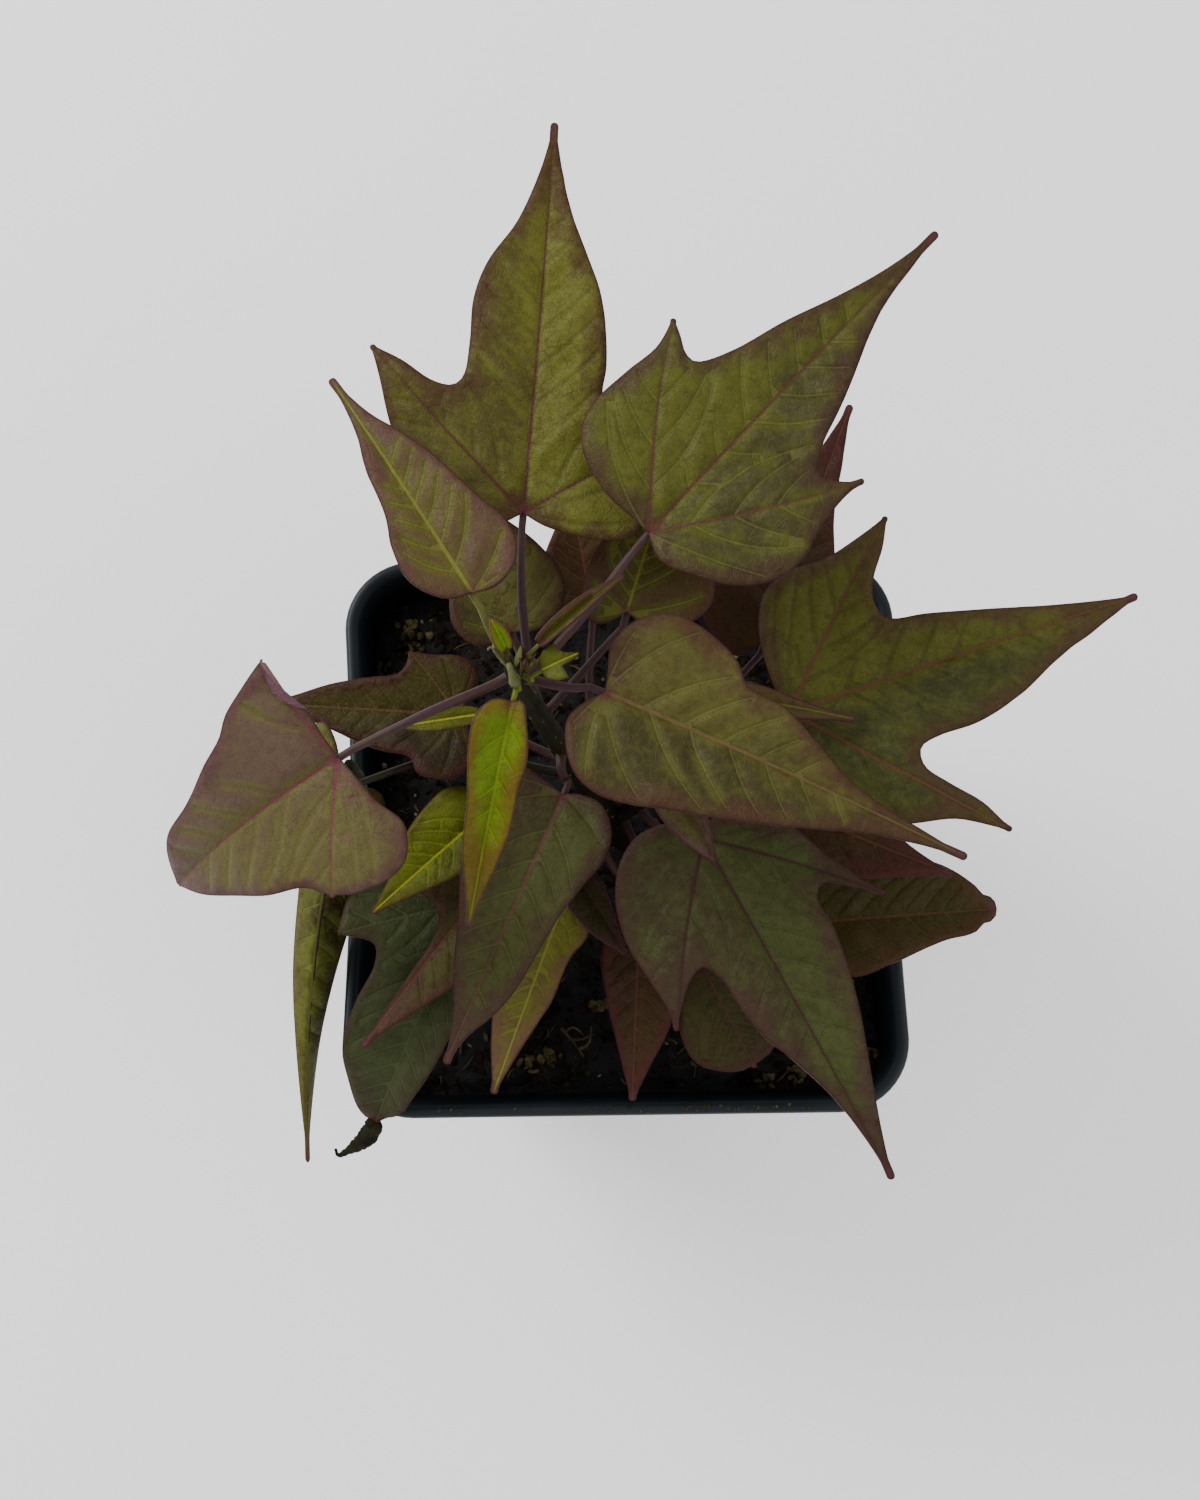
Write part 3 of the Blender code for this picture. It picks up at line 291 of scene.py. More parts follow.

# In each leaf, dark names the half of the blade that is painted in the shaded tone
LEAVES = {
    "leaf_back": dict(
        junction=(-15.6, 43.3, 140), heading=84, length=66.5, pitch=(8, -4), sweep=2,
        left=((-2, 3.5), (-1, 8.5), (2, 15), (7, 20), (13.5, 23), (20, 25), (25.5, 27, TIP),
              (23, 21.5), (20, 16.5), (19.5, 13), (21, 11.5), (27, 11), (34, 11), (41, 9),
              (48, 5), (55, 2.5), (61, 1)),
        right=((-2, 4), (-3.5, 13), (-2.5, 18), (3.5, 21), (9.5, 21.5), (14.5, 22, TIP),
               (16, 17), (19, 11.5), (24.5, 11.5), (30, 11), (37, 9.5), (43, 7), (50, 4),
               (57, 2)),
        stalk=("main", 0.8, ((-16, 30, 138),)), tone="olive", dark="left"),
    "leaf_back_right": dict(
        junction=(4.2, 37.4, 148), heading=45.5, length=66.7, pitch=(10, -2),
        left=((0, 3), (0, 9), (2, 15.5), (5, 19), (10, 20.5), (16, 20), (22, 19),
              (27.5, 20.5, TIP), (26, 17.5), (24.5, 15), (24.5, 13), (30, 10), (39.5, 7),
              (49.5, 3.5), (57, 1.5)),
        right=((-2, 4.5), (0, 10.5), (3, 16), (8, 20), (13, 21), (19, 19.5), (25, 19),
               (28.5, 19.5, TIP), (26, 17), (24.5, 13.5), (28, 11), (34, 9), (40.5, 6.5),
               (46.5, 4), (53, 2), (60, 1)),
        stalk=("main", 0.9, ((-6, 25, 145),)), tone="olive_pale", dark="right", light=0.92),
    "leaf_back_left": dict(
        junction=(-23.1, 27, 152), heading=121.7, length=43.7, pitch=(6, -18),
        left=((1, 3.5), (3.5, 6), (7, 7.5), (12, 7), (17.5, 5), (26, 3.5), (32.5, 1.5)),
        right=((-1, 3.5), (0, 7.5), (3, 10), (7.5, 10.5), (12, 9), (16, 8), (22.5, 6.5),
               (28, 4.5), (34, 2)),
        stalk=("main", 0.88, ((-20.5, 22, 149),)), tone="plum", dark="right", light=0.95,
        net=0.7, stalk_tone="pale", veining=1.15),
    "leaf_left": dict(
        junction=(-44, 2.4, 148), heading=209, length=42.5, pitch=(-15, -60), fold=(8, 28.8),
        left=((-1, 4), (-2, 9), (-4, 14), (-3, 17), (-1, 19.5), (3, 20.5), (8, 19.5),
              (12.5, 18, TIP), (15, 14.5), (21.5, 12), (28.5, 8.5), (36, 4.5)),
        right=((0, 4), (-0.4, 8), (-0.7, 13), (0.6, 19, TIP), (5.5, 17.3), (10, 15.3),
               (13.2, 12.6), (18.5, 10.6), (26, 8), (33, 6.5), (37, 4.5)),
        curl=dict(side=-1, start=6, full=13, line=1.1, bend=0.14, turn=174),
        stalk=("main", 0.97, ((-30, 9, 149),)), tone="mauve", dark="right", ripple=0.3,
        net=0.35, veining=2.1),
    "leaf_right": dict(
        junction=(-2.9, 12.5, 146), heading=335.5, length=62.6, pitch=(2, -16),
        left=((-1, 3.5), (-2, 7), (-0.5, 11.5), (3, 14.5), (7.5, 15.5), (13, 14.5),
              (17, 12.5), (20, 9.5), (26.5, 9), (32.5, 6.5), (40, 3), (47, 1.5), (55, 0.7)),
        right=((-2, 2.5), (-3.5, 6.5), (-2, 10.5), (1, 14), (5, 15.5), (10.5, 15),
               (18, 13), (27, 10.5), (36, 7.5), (45, 4), (54.5, 1.5)),
        stalk=("main", 0.93, ((-8, 13.4, 145),)), tone="brown", dark="right", light=1.0, net=0.15,
        veining=1.4),
    "leaf_far_right": dict(
        junction=(27.5, 13.5, 124), heading=17.7, length=60.8, pitch=(6, -2),
        left=((-1, 4), (-1, 11), (0.5, 17), (3, 20.5), (8, 22.5), (14, 22.5), (20.5, 24),
              (26, 26, TIP), (23.5, 21), (20, 16), (19, 12.5), (20, 9.5), (27, 8),
              (36.5, 5.5), (46, 3), (55, 1)),
        right=((-1, 5), (0.5, 11.5), (4, 18), (10.5, 23.5), (20, 26), (27.5, 30.5, TIP),
               (24.5, 24.5), (20.5, 20), (17.5, 16), (18, 13), (21.5, 12), (28.5, 12),
               (36, 10), (44.5, 6), (53, 3)),
        stalk=("right", 0.72, ((16, 9.5, 118),)), tone="olive_dark", dark="right", light=1.2),
    "leaf_front_right": dict(
        junction=(12.9, -6.6, 120), heading=298.4, length=63.9, pitch=(0, -14),
        left=((-2, 2), (-0.5, 7.5), (5.5, 13.5), (12.5, 16.5), (22.5, 21.5, TIP),
              (18.5, 17), (16, 13.5), (17.5, 11.5), (22, 11.5), (29.5, 10.5), (37, 8.5),
              (46, 5.5), (55, 2.5)),
        right=((-4, 2), (-5.5, 9), (-3, 14), (1.5, 17.5), (8, 19.5), (15, 19.5),
               (21.5, 19), (25.5, 19.5, TIP), (22, 16.5), (19, 13), (18.5, 10.5),
               (21.5, 9), (27, 8.5), (33, 7.5), (40, 4.5), (48, 2), (55.5, 0.7)),
        stalk=("right", 0.62, ((10, -2, 116),)), tone="night", dark="right", light=1.18),
    "leaf_front": dict(
        junction=(-10, 1.3, 118), heading=245.5, length=48.6, pitch=(0, -12),
        left=((-1, 2), (-1, 6.5), (2.5, 10), (7, 11), (12, 9.5), (17.5, 8), (24.5, 7),
              (32.5, 6), (38.5, 4), (43, 1.5)),
        right=((-1, 4), (-1.5, 8.5), (2, 11.5), (10, 12), (18, 10.5), (26, 7.5),
               (33.5, 5), (40.5, 2)),
        stalk=("main", 0.6, ((-9.5, 4, 116),)), tone="night_brown", dark="right", light=1.16),
    "leaf_young_bright": dict(
        junction=(-17.1, 10.8, 148), heading=256, length=39, pitch=(-22, -40),
        fold=(25, 25),
        left=((-0.5, 1.5), (2.5, 3), (8.5, 4.5), (12.5, 4), (20, 4), (26, 3), (32, 1.5)),
        right=((0, 3), (3, 5.5), (8.5, 5.5), (17, 4), (24, 3.5), (31, 2)),
        stalk=("main", 0.985, ()), tone="lime", dark="left", flush=0.42,
        stalk_tone="lime", stalk_radius=0.8),
    "leaf_front_left": dict(
        junction=(-18.6, -5.8, 105), heading=231.4, length=42.5, pitch=(0, -10),
        left=((-1, 2.5), (2, 5), (7.5, 7), (15, 7), (24, 6.5), (30, 4.5), (36.5, 2)),
        right=((-1, 2.5), (0.5, 5), (6, 7.5), (11.5, 8), (16, 9, TIP), (15.5, 5.5),
               (17, 3), (21, 1.5), (28.5, 1), (36.5, 0.5)),
        stalk=("left", 0.72, ()), tone="deep", dark="right", light=1.33),
    "leaf_corner": dict(
        junction=(-26.3, -14.2, 99), heading=244.7, length=44, pitch=(14, -42),
        left=((0, 2), (3, 4.5), (11, 6.5), (19.5, 6.5), (28, 6), (34, 5), (39.5, 3.5),
              (41.5, 1.5)),
        right=((-1.5, 4.5), (0.5, 13), (6.5, 19.5), (14.5, 18.5, TIP), (13.5, 12),
               (16.5, 10.5), (24, 11), (31.5, 10), (37, 7), (42, 3.5)),
        stalk=("left", 0.42, ((-18, -9, 96),)), tone="dusk", dark="right", light=1.25,
        stalk_tone="dull",
        withered=((-43.7, -50.9, 89.2), (-45, -52.8, 86.5), (-46.9, -54.3, 84),
                  (-49.3, -55.6, 81.5), (-51.2, -56.3, 80), (-51.6, -55.2, 80.5))),
    "leaf_side": dict(
        junction=(-47.3, 1, 115), heading=250, length=73, pitch=(-42, -28), sweep=20,
        fold=(-60, -25), droop=0.2,
        left=((-1, 3), (0, 8), (4, 12), (10, 13.5, TIP), (16, 12), (25, 10), (36, 7),
              (48, 4), (60, 2)),
        right=((-5, 1.5), (-10, 4), (-12, 7), (-9.5, 9.5), (-4, 10.5), (3, 9.5), (11, 7.5),
               (18, 5.5), (27, 4.8), (38, 4), (50, 2.5), (61, 1.2)),
        stalk=("main", 0.5, ((-28, 10, 109),)), tone="hanging", dark="left", ripple=0.35,
        light=1.1, stalk_tone="dull",
        strip=((-47.4, 3, 113.5), (-46.2, 8, 113), (-44.6, 6, 113.4), (-43.6, 3.4, 112),
               (-43, 1, 110))),
    "leaf_mid_left": dict(
        junction=(-27.6, 15.5, 116), heading=175, length=33, pitch=(0, -8),
        left=((-3, 4), (-3.5, 8), (-1, 11), (3.5, 11.4), (5.8, 10.8), (7.2, 8), (11.5, 7.3),
              (15.8, 6.1), (21.2, 3.9), (26.5, 2)),
        right=((-2, 3), (-3, 6), (-2, 8.8), (1, 10), (5, 9.9), (9, 10.4, TIP), (9.3, 8),
               (10.6, 6.3), (15.2, 5.4), (21.9, 3.9), (27.1, 2)),
        stalk=("main", 0.55, ()), tone="red", dark="left", light=1.05),
    "leaf_inner_back": dict(
        junction=(-18.1, 27.7, 124), heading=108, length=24, pitch=(12, 2),
        left=((-1, 3), (0, 7), (4, 9), (9, 8), (14, 6), (19, 3)),
        right=((-1, 4), (1, 9), (6, 11), (12, 9), (18, 5)),
        stalk=("main", 0.66, ()), tone="brown", dark="left", net=0.4),
    "leaf_inner_low": dict(
        junction=(-5.1, 36.5, 112), heading=100, length=18, pitch=(6, 0),
        left=((-2, 3), (0, 7), (5, 8), (11, 5)),
        right=((-2, 4), (-1, 9), (5, 12), (9, 12, TIP), (10, 7), (13, 3)),
        stalk=("main", 0.42, ((-5.5, 22, 107),)), tone="wine", dark="left", light=1.5),
    "leaf_veined": dict(
        junction=(0.9, 29.3, 130), heading=72, length=32, pitch=(8, 0),
        left=((-3, 3), (-3, 6), (1.5, 8), (7, 8), (14, 6), (22, 3)),
        right=((-1.5, 4.5), (1, 10.5), (5.5, 13), (11, 11.5), (18, 8), (25, 4)),
        stalk=("main", 0.72, ()), tone="netted", dark="left", light=1.25, net=1.0),
    "leaf_dark": dict(
        junction=(24.8, 29.1, 110), heading=69, length=44, pitch=(8, 2),
        left=((-4, 3), (-4, 6), (-1, 10.5), (4, 13.5), (14.5, 10), (25, 5), (36, 2)),
        right=((-2, 4), (0, 9), (7, 10), (16, 7), (24, 4), (34, 2)),
        stalk=("right", 0.35, ((14, 17, 104),)), tone="wine", dark="right", light=1.25),
    "leaf_small_mid": dict(
        junction=(5.1, 6.4, 131), heading=298.5, length=21.4, pitch=(-10, -25),
        fold=(45, 45), droop=0.3,
        left=((0, 2.5), (5, 4), (12, 3), (17, 1.5)),
        right=((0, 3), (3, 5.5), (8, 7), (16, 4)),
        stalk=("right", 1.0, ()), tone="mauve", dark="left", stalk_radius=0.7),
    "leaf_small_low": dict(
        junction=(-9.9, -7.9, 112), heading=301.7, length=19.8, pitch=(-10, -20),
        fold=(35, 35), droop=0.3,
        left=((0, 2), (2.5, 3), (8, 3), (14, 1.5)),
        right=((0, 2), (3, 4), (7, 5), (14, 3.5)),
        stalk=("left", 0.86, ()), tone="deep", dark="left", stalk_radius=0.7),
    "leaf_bronze": dict(
        junction=(-8.9, -11.3, 106), heading=248.8, length=38.7, pitch=(-4, -12),
        left=((0, 2), (1.5, 4), (8, 6), (12.5, 4.5), (20.5, 4), (29, 2)),
        right=((-1, 2), (4.5, 3.5), (14, 4.5), (22, 5.5), (30, 3.5)),
        stalk=("left", 0.6, ()), tone="gold", dark="right", light=1.3, net=0.35,
        stalk_radius=0.9),
    "leaf_red_front": dict(
        junction=(2.7, -15.1, 101), heading=266.8, length=33.6, pitch=(-4, -10),
        left=((0, 2), (2.5, 4.5), (11, 7.5), (20.5, 6), (26, 3.5)),
        right=((0, 3), (3, 5), (9, 6.5), (16.5, 5), (24, 3)),
        stalk=("left", 0.28, ((-1, -9, 96),)), tone="wine", dark="right", light=1.3),
    "leaf_folded_front": dict(
        junction=(13.2, -25.3, 98), heading=297, length=20, pitch=(-5, -14),
        left=((0, 3), (3, 7), (10, 9), (16, 7), (19, 3)),
        right=((0, 3), (2, 5.5), (7, 8.5), (13.5, 9), (18, 5)),
        stalk=("right", 0.12, ((6, -10, 92),)), tone="deep", dark="left", light=1.1),
    "leaf_low_right": dict(
        junction=(27.2, -19.3, 104), heading=4, length=37, pitch=(2, -10),
        left=((-1, 2), (1.5, 6), (8.5, 9.5), (18, 10), (27, 8.5), (33, 4.5)),
        right=((-1, 2), (2, 5), (10, 10), (18, 8), (26.5, 5), (33, 3.5)),
        stalk=("right", 0.3, ((14, -8, 99),)), tone="bronze", dark="right", blunt=2.5),
    "leaf_under_right": dict(
        junction=(17, 3, 115), heading=338, length=41, pitch=(0, -6),
        left=((-1, 2), (3, 5), (12, 7), (22, 6), (32, 2)),
        right=((-1, 2), (4.5, 5), (14, 7), (25, 7), (32, 4)),
        stalk=("right", 0.52, ()), tone="wine", dark="right", light=1.3),
    "leaf_small_right": dict(
        junction=(12.5, 15.9, 131), heading=349.4, length=25.7, pitch=(0, -10),
        fold=(25, 25),
        left=((0, 1.5), (4.5, 2.5), (10, 2.5), (15, 1.5)),
        right=((0, 1.5), (4.5, 2.5), (11, 2.5), (17, 2)),
        stalk=("right", 0.97, ()), tone="gold", dark="right", stalk_radius=0.7),
    "leaf_bright_left": dict(
        junction=(-21.8, 0.6, 112), heading=220, length=27.5, pitch=(0, -14),
        left=((-1, 2), (2, 4.5), (7, 6), (13, 5), (19, 3), (23.5, 1.5)),
        right=((-1, 2), (0, 4), (4, 7.5), (8.5, 7.5), (14.5, 6), (20, 3)),
        stalk=("left", 0.97, ()), tone="lime_dark", dark="left", light=1.15, stalk_tone="lime"),
    "leaf_thin": dict(
        junction=(-23, 12.2, 132), heading=187, length=14, pitch=(0, -10), fold=(10, 10),
        left=((0, 1), (4, 1.8), (9, 1.6)),
        right=((0, 1), (4, 1.8), (10, 1.4)),
        stalk=("main", 0.76, ()), tone="lime_dark", dark="left", light=1.15,
        stalk_tone="lime", stalk_radius=0.7),
    "leaf_slender": dict(
        junction=(-13, 19, 151), heading=41, length=17, pitch=(14, 6), sweep=-8,
        fold=(55, 55), droop=0.2,
        left=((0, 1), (4, 1.9), (10, 1.7)),
        right=((0, 1), (4, 1.9), (10, 1.7)),
        stalk=("main", 0.96, ()), tone="gold", dark="right", stalk_tone="pale", stalk_radius=0.6),
    "leaf_tip_pointed": dict(
        junction=(-17.8, 17.8, 152), heading=118, length=6, pitch=(40, 20),
        fold=(30, 30),
        left=((0, 0.8), (2, 1.6), (4, 1.2)),
        right=((0, 0.8), (2, 1.6), (4, 1.2)),
        stalk=("main", 1.0, ()), tone="lime", dark="left", stalk_tone="lime", stalk_radius=0.6),
    "leaf_tip_lobed": dict(
        junction=(-12.6, 15.2, 150), heading=22, length=6.5, pitch=(20, 0),
        left=((0, 1.2), (1.5, 2.6), (3.4, 3.2, TIP), (3.6, 1.6)),
        right=((0, 1.2), (1.5, 2.6), (3.4, 3.2, TIP), (3.6, 1.6)),
        stalk=("main", 0.98, ()), tone="lime_dark", dark="left", stalk_tone="lime",
        stalk_radius=0.6),
}
GREEN_BACKED = ("lime", "lime_dark", "gold", "hanging")
# light scales all of a leaf's tones up or down as painted light, to offset the shade or light
# that falls on that leaf
LEAF_DEFAULTS = dict(sweep=0, fold=(12, 12), droop=0.8, curl=None, ripple=1.0, blunt=0.62,
                     stalk_radius=1.1, stalk_tone="mauve", light=1.0, net=0.0, flush=0.68,
                     veining=1.0, withered=(), strip=())

# Dry ends that some leaves have besides their blade, drawn along a line of their own
DRY_ENDS = {
    "withered": dict(skin=("withered_tip", (44, 44, 22), (28, 24, 14), 0.8),
                     radii=(1.6, 1.7, 1.3, 0.7, 0.35, 0.3), sides=18,
                     form=dict(uneven=0.14, seed=8, flat=0.6)),
    "strip": dict(skin=("crumpled_strip", (88, 92, 74), (62, 66, 50), 0.75),
                  radii=(0.5, 0.9, 1.1, 0.9, 0.2), sides=12,
                  form=dict(uneven=0.16, seed=3, flat=0.3)),
}

# Lamps: place and size in metres, and share of the key light's power
LAMPS = {"key": ((-0.7, 0.45, 0.75), 0.5, 1.0), "fill": ((0.8, -0.3, 0.8), 0.8, 0.3)}


def linear(rgb):
    """Paint that shows as the given screen colour of 0 to 255 under the studio's light."""
    paint = [((c / 255 + 0.055) / 1.055) ** 2.4 - SHEEN for c in rgb]
    return tuple(max(c, 0.001) / STUDIO_LEVEL for c in paint) + (1.0,)


def shaded(rgb, share):
    """A screen colour made darker, or lighter with a share above one."""
    return tuple(min(c * share, 255) for c in rgb)


# Shader expressions


class Field:
    """A socket's value as part of an expression. Operators on it add Math nodes."""

    def __init__(self, shader, socket):
        self.shader = shader
        self.socket = socket

    def _math(self, operation, first, second):
        return self.shader.node("ShaderNodeMath", dict(operation=operation),
                                {0: first, 1: second})

    def __add__(self, other):
        return self._math("ADD", self, other)

    __radd__ = __add__

    def __sub__(self, other):
        return self._math("SUBTRACT", self, other)

    def __rsub__(self, other):
        return self._math("SUBTRACT", other, self)

    def __mul__(self, other):
        return self._math("MULTIPLY", self, other)

    __rmul__ = __mul__

    def below(self, other):
        return self._math("MINIMUM", self, other)

    def above(self, other):
        return self._math("MAXIMUM", self, other)

    def ramp(self, low, high, to_low=0.0, to_high=1.0):
        """Smooth step from to_low at low to to_high at high."""
        settings = dict(interpolation_type="SMOOTHSTEP", clamp=True)
        values = {"Value": self, "From Min": low, "From Max": high,
                  "To Min": to_low, "To Max": to_high}
        return self.shader.node("ShaderNodeMapRange", settings, values)


class Shader:
    """A Principled material under construction."""

    def __init__(self, name):
        self.material = bpy.data.materials.new(name)
        self.material.use_nodes = True
        self.tree = self.material.node_tree
        self.principled = self.tree.nodes["Principled BSDF"]

    def node(self, kind, settings=None, values=None, output=0):
        """Add any node: its type, its settings, then the values or links of its sockets."""
        made = self.tree.nodes.new(kind)
        for key, value in (settings or {}).items():
            setattr(made, key, value)
        for key, value in (values or {}).items():
            self.feed(made.inputs[key], value)
        return Field(self, made.outputs[output])

    def feed(self, socket, value):
        """Link a field, or set a constant. Three numbers on a colour are a screen colour."""
        if isinstance(value, Field):
            self.tree.links.new(value.socket, socket)
        elif socket.type == "RGBA" and len(value) == 3:
            socket.default_value = linear(value)
        else:
            socket.default_value = value

    def attribute(self, name, output="Fac"):
        return self.node("ShaderNodeAttribute", dict(attribute_name=name), output=output)

    def place(self):
        return self.node("ShaderNodeTexCoord", output="Object")

    def flat_place(self):
        """Place on the flat leaf before it was bent."""
        return self.node("ShaderNodeCombineXYZ", None,
                         {"X": self.attribute("flat_x"), "Y": self.attribute("flat_y")})

    def scaled(self, vector, scale, shift=(0.0, 0.0, 0.0)):
        return self.node("ShaderNodeMapping", None,
                         {"Vector": vector, "Scale": scale, "Location": shift})

    def noise(self, vector, scale, detail=2.0, rough=0.5):
        return self.node("ShaderNodeTexNoise", None,
                         {"Vector": vector, "Scale": scale, "Detail": detail,
                          "Roughness": rough})

    def cells(self, vector, scale, feature="DISTANCE_TO_EDGE", output="Distance"):
        return self.node("ShaderNodeTexVoronoi", dict(feature=feature),
                         {"Vector": vector, "Scale": scale}, output)

    def mix(self, factor, first, second):
        """One colour over another. Colours go by socket number: the names repeat."""
        return self.node("ShaderNodeMix", dict(data_type="RGBA"),
                         {0: factor, 6: first, 7: second}, 2)

    def bump(self, height, distance, strength=1.0):
        return self.node("ShaderNodeBump", None,
                         {"Height": height, "Distance": distance, "Strength": strength})

    def finish(self, gloss=None, **sockets):
        """Feed the Principled node. Gloss is one value for the whole surface."""
        if gloss is not None:
            self.principled.inputs["Specular IOR Level"].default_value = gloss
        for key, value in sockets.items():
            self.feed(self.principled.inputs[key.replace("_", " ")], value)
        return self.material


# Curves and outlines


def smooth_path(points, steps):
    """Points on a smooth curve through the given ones, however unevenly they are spaced."""
    points = [Vector(p) for p in points]
    ends = [2 * points[0] - points[1]] + points + [2 * points[-1] - points[-2]]
    path = []
    for a, b, c, d in zip(ends, ends[1:], ends[2:], ends[3:]):
        t1 = math.sqrt((b - a).length)
        t2 = t1 + math.sqrt((c - b).length)
        t3 = t2 + math.sqrt((d - c).length)
        for step in range(steps):
            t = t1 + (t2 - t1) * step / steps
            ab = a.lerp(b, t / t1)
            bc = b.lerp(c, (t - t1) / (t2 - t1))
            cd = c.lerp(d, (t - t2) / (t3 - t2))
            path.append(ab.lerp(bc, t / t2).lerp(bc.lerp(cd, (t - t1) / (t3 - t1)),
                                                 (t - t1) / (t2 - t1)))
    path.append(points[-1])
    return path


def spaced(points, gap):
    """The same line with points at an even distance of about the gap."""
    points = [Vector(p) for p in points]
    lengths = [0.0]
    for a, b in zip(points, points[1:]):
        lengths.append(lengths[-1] + (b - a).length)
    count = max(2, round(lengths[-1] / gap))
    wanted = np.linspace(0.0, lengths[-1], count + 1)
    table = np.array([tuple(p) for p in points])
    return np.stack([np.interp(wanted, lengths, table[:, i]) for i in range(table.shape[1])], 1)


def leaf_side(leaf, side):
    """One half of the flat leaf's edge, from the junction to the tip, smooth between lobes."""
    sign = dict(SIDES)[side]
    marked = [(0.0, 0.0, TIP)]
    marked += [(p[0], p[1] * sign, p[2] if len(p) > 2 else 0) for p in leaf[side]]
    marked += [(leaf["length"], 0.0, TIP)]
    line = []
    run = [marked[0][:2]]
    for x, y, corner in marked[1:]:
        run.append((x, y))
        if corner:
            smooth = smooth_path([(*p, 0.0) for p in run], CURVE_STEPS)
            line.append(spaced([p.to_2d() for p in smooth], GRID))
            run = [(x, y)]
    return line


def blunted(loop, tip, size):
    """Round off one pointed tip of a closed outline that runs clockwise."""
    index = int(np.linalg.norm(loop - tip, axis=1).argmin())
    count = len(loop)
    out = tip - (loop[(index - 4) % count] + loop[(index + 4) % count]) / 2
    out = out / np.linalg.norm(out)
    tip = tip - out * TIP_INSET
    across = np.array([-out[1], out[0]])
    kept = []
    for i, point in enumerate(np.roll(loop, -index, 0)[1:], 1):
        if np.linalg.norm(point - tip) < TIP_REACH:
            behind = (tip - point) @ out
            if behind < size * 1.3:
                continue
            side = -1.0 if i < count / 2 else 1.0
            beside = side * max((point - tip) @ across * side, size)
            point = tip - out * behind + across * beside
        kept.append(point)
    ends = []
    for side in (-1.0, 1.0):
        ends.append([tip - out * size * (1 - math.cos(math.radians(a)))
                     + across * side * size * math.sin(math.radians(a))
                     for a in (30, 60, 90)])
    return np.array([tip] + ends[0] + kept + ends[1][::-1])


def lobe_tips(leaf):
    """Tips of the leaf's side lobes, from left to right."""
    return [np.array((p[0], p[1] * sign)) for side, sign in SIDES
            for p in leaf[side] if len(p) > 2]


def leaf_outline(leaf):
    """The flat leaf's whole edge as a closed loop of points, clockwise."""
    left, right = (np.concatenate([run[:-1] for run in leaf_side(leaf, side)])
                   for side, _ in SIDES)
    tip = np.array([leaf["length"], 0.0])
    loop = np.concatenate([left, tip[None], right[:0:-1]])
    scale = min(1.0, leaf["length"] / 25.0)
    loop = blunted(loop, tip, leaf["blunt"] * scale)
    for lobe in lobe_tips(leaf):
        loop = blunted(loop, lobe, LOBE_BLUNT * scale)
    return loop


def distance_to(points, starts, ends):
    """Distance from each point to the nearest of the line pieces, and which one it is."""
    along = ends - starts
    offset = points[:, None, :] - starts[None]
    share = (offset * along[None]).sum(-1) / np.maximum((along ** 2).sum(-1), 1e-9)[None]
    share = np.clip(share, 0.0, 1.0)[..., None]
    gap = np.linalg.norm(offset - along[None] * share, axis=-1)
    nearest = gap.argmin(1)
    return gap[np.arange(len(points)), nearest], nearest


def distance_to_lines(points, lines):
    return distance_to(points, np.concatenate([line[:-1] for line in lines]),
                       np.concatenate([line[1:] for line in lines]))


def edge_distance(points, loop):
    return distance_to(points, loop, np.roll(loop, -1, 0))[0]


def inside(points, loop):
    """Which points lie inside a closed loop."""
    x = points[:, 0, None]
    y = points[:, 1, None]
    x1, y1 = loop[:, 0], loop[:, 1]
    x2, y2 = np.roll(x1, -1), np.roll(y1, -1)
    crosses = (y1 > y) != (y2 > y)
    rise = np.where(np.abs(y2 - y1) < 1e-9, 1e-9, y2 - y1)
    return (crosses & (x < x1 + (y - y1) * (x2 - x1) / rise)).sum(1) % 2 == 1


def hexagonal(low, high, gap, rng):
    """Points of a slightly uneven triangular grid over a rectangle."""
    rows = []
    row = 0
    y = low[1]
    while y < high[1]:
        x = np.arange(low[0] + (gap / 2 if row % 2 else 0.0), high[0], gap)
        rows.append(np.stack([x, np.full(len(x), y)], 1))
        y += gap * math.sqrt(3) / 2
        row += 1
    grid = np.concatenate(rows)
    return grid + rng.uniform(-0.18, 0.18, grid.shape) * gap


def triangles_in(loop, lines, gap, rng):
    """Split the inside of a loop into small triangles that follow the given lines."""
    points = [Vector(p) for p in loop]
    edges = [(i, (i + 1) % len(loop)) for i in range(len(loop))]
    for line in lines:
        first = len(points)
        points += [Vector(p) for p in line]
        edges += [(first + i, first + i + 1) for i in range(len(line) - 1)]
    grid = hexagonal(loop.min(0), loop.max(0), gap, rng)
    grid = grid[inside(grid, loop)]
    grid = grid[edge_distance(grid, loop) > gap * 0.45]
    if lines:
        grid = grid[distance_to_lines(grid, lines)[0] > gap * 0.45]
    points += [Vector(p) for p in grid]
    face = [list(range(len(loop)))]
    flat, _, faces, *_ = delaunay_2d_cdt(points, edges, face, 1, 1e-4)
    return np.array([tuple(p) for p in flat]), [tuple(f) for f in faces]


# Pieces


def mesh_of(name, points, faces, attributes=None, materials=()):
    """A smooth-shaded mesh from points in millimetres, with one value a point by name."""
    mesh = bpy.data.meshes.new(name)
    points = np.array([tuple(p) for p in points]) * MM
    mesh.from_pydata([tuple(p) for p in points], [], faces)
    for key, values in (attributes or {}).items():
        layer = mesh.attributes.new(key, "FLOAT", "POINT")
        layer.data.foreach_set("value", np.asarray(values, np.float32))
    for material in materials:
        mesh.materials.append(material)
    mesh.polygons.foreach_set("use_smooth", [True] * len(mesh.polygons))
    mesh.update()
    return mesh


def put(name, data):
    """Add an object to the scene."""
    item = bpy.data.objects.new(name, data)
    bpy.context.scene.collection.objects.link(item)
    return item


def place_piece(mesh, node=None):
    """Add a piece to the one body and the solid that it takes the place of."""
    piece = put(mesh.name, mesh)
    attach(piece, ROOT)
    if node:
        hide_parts(node)
    return piece


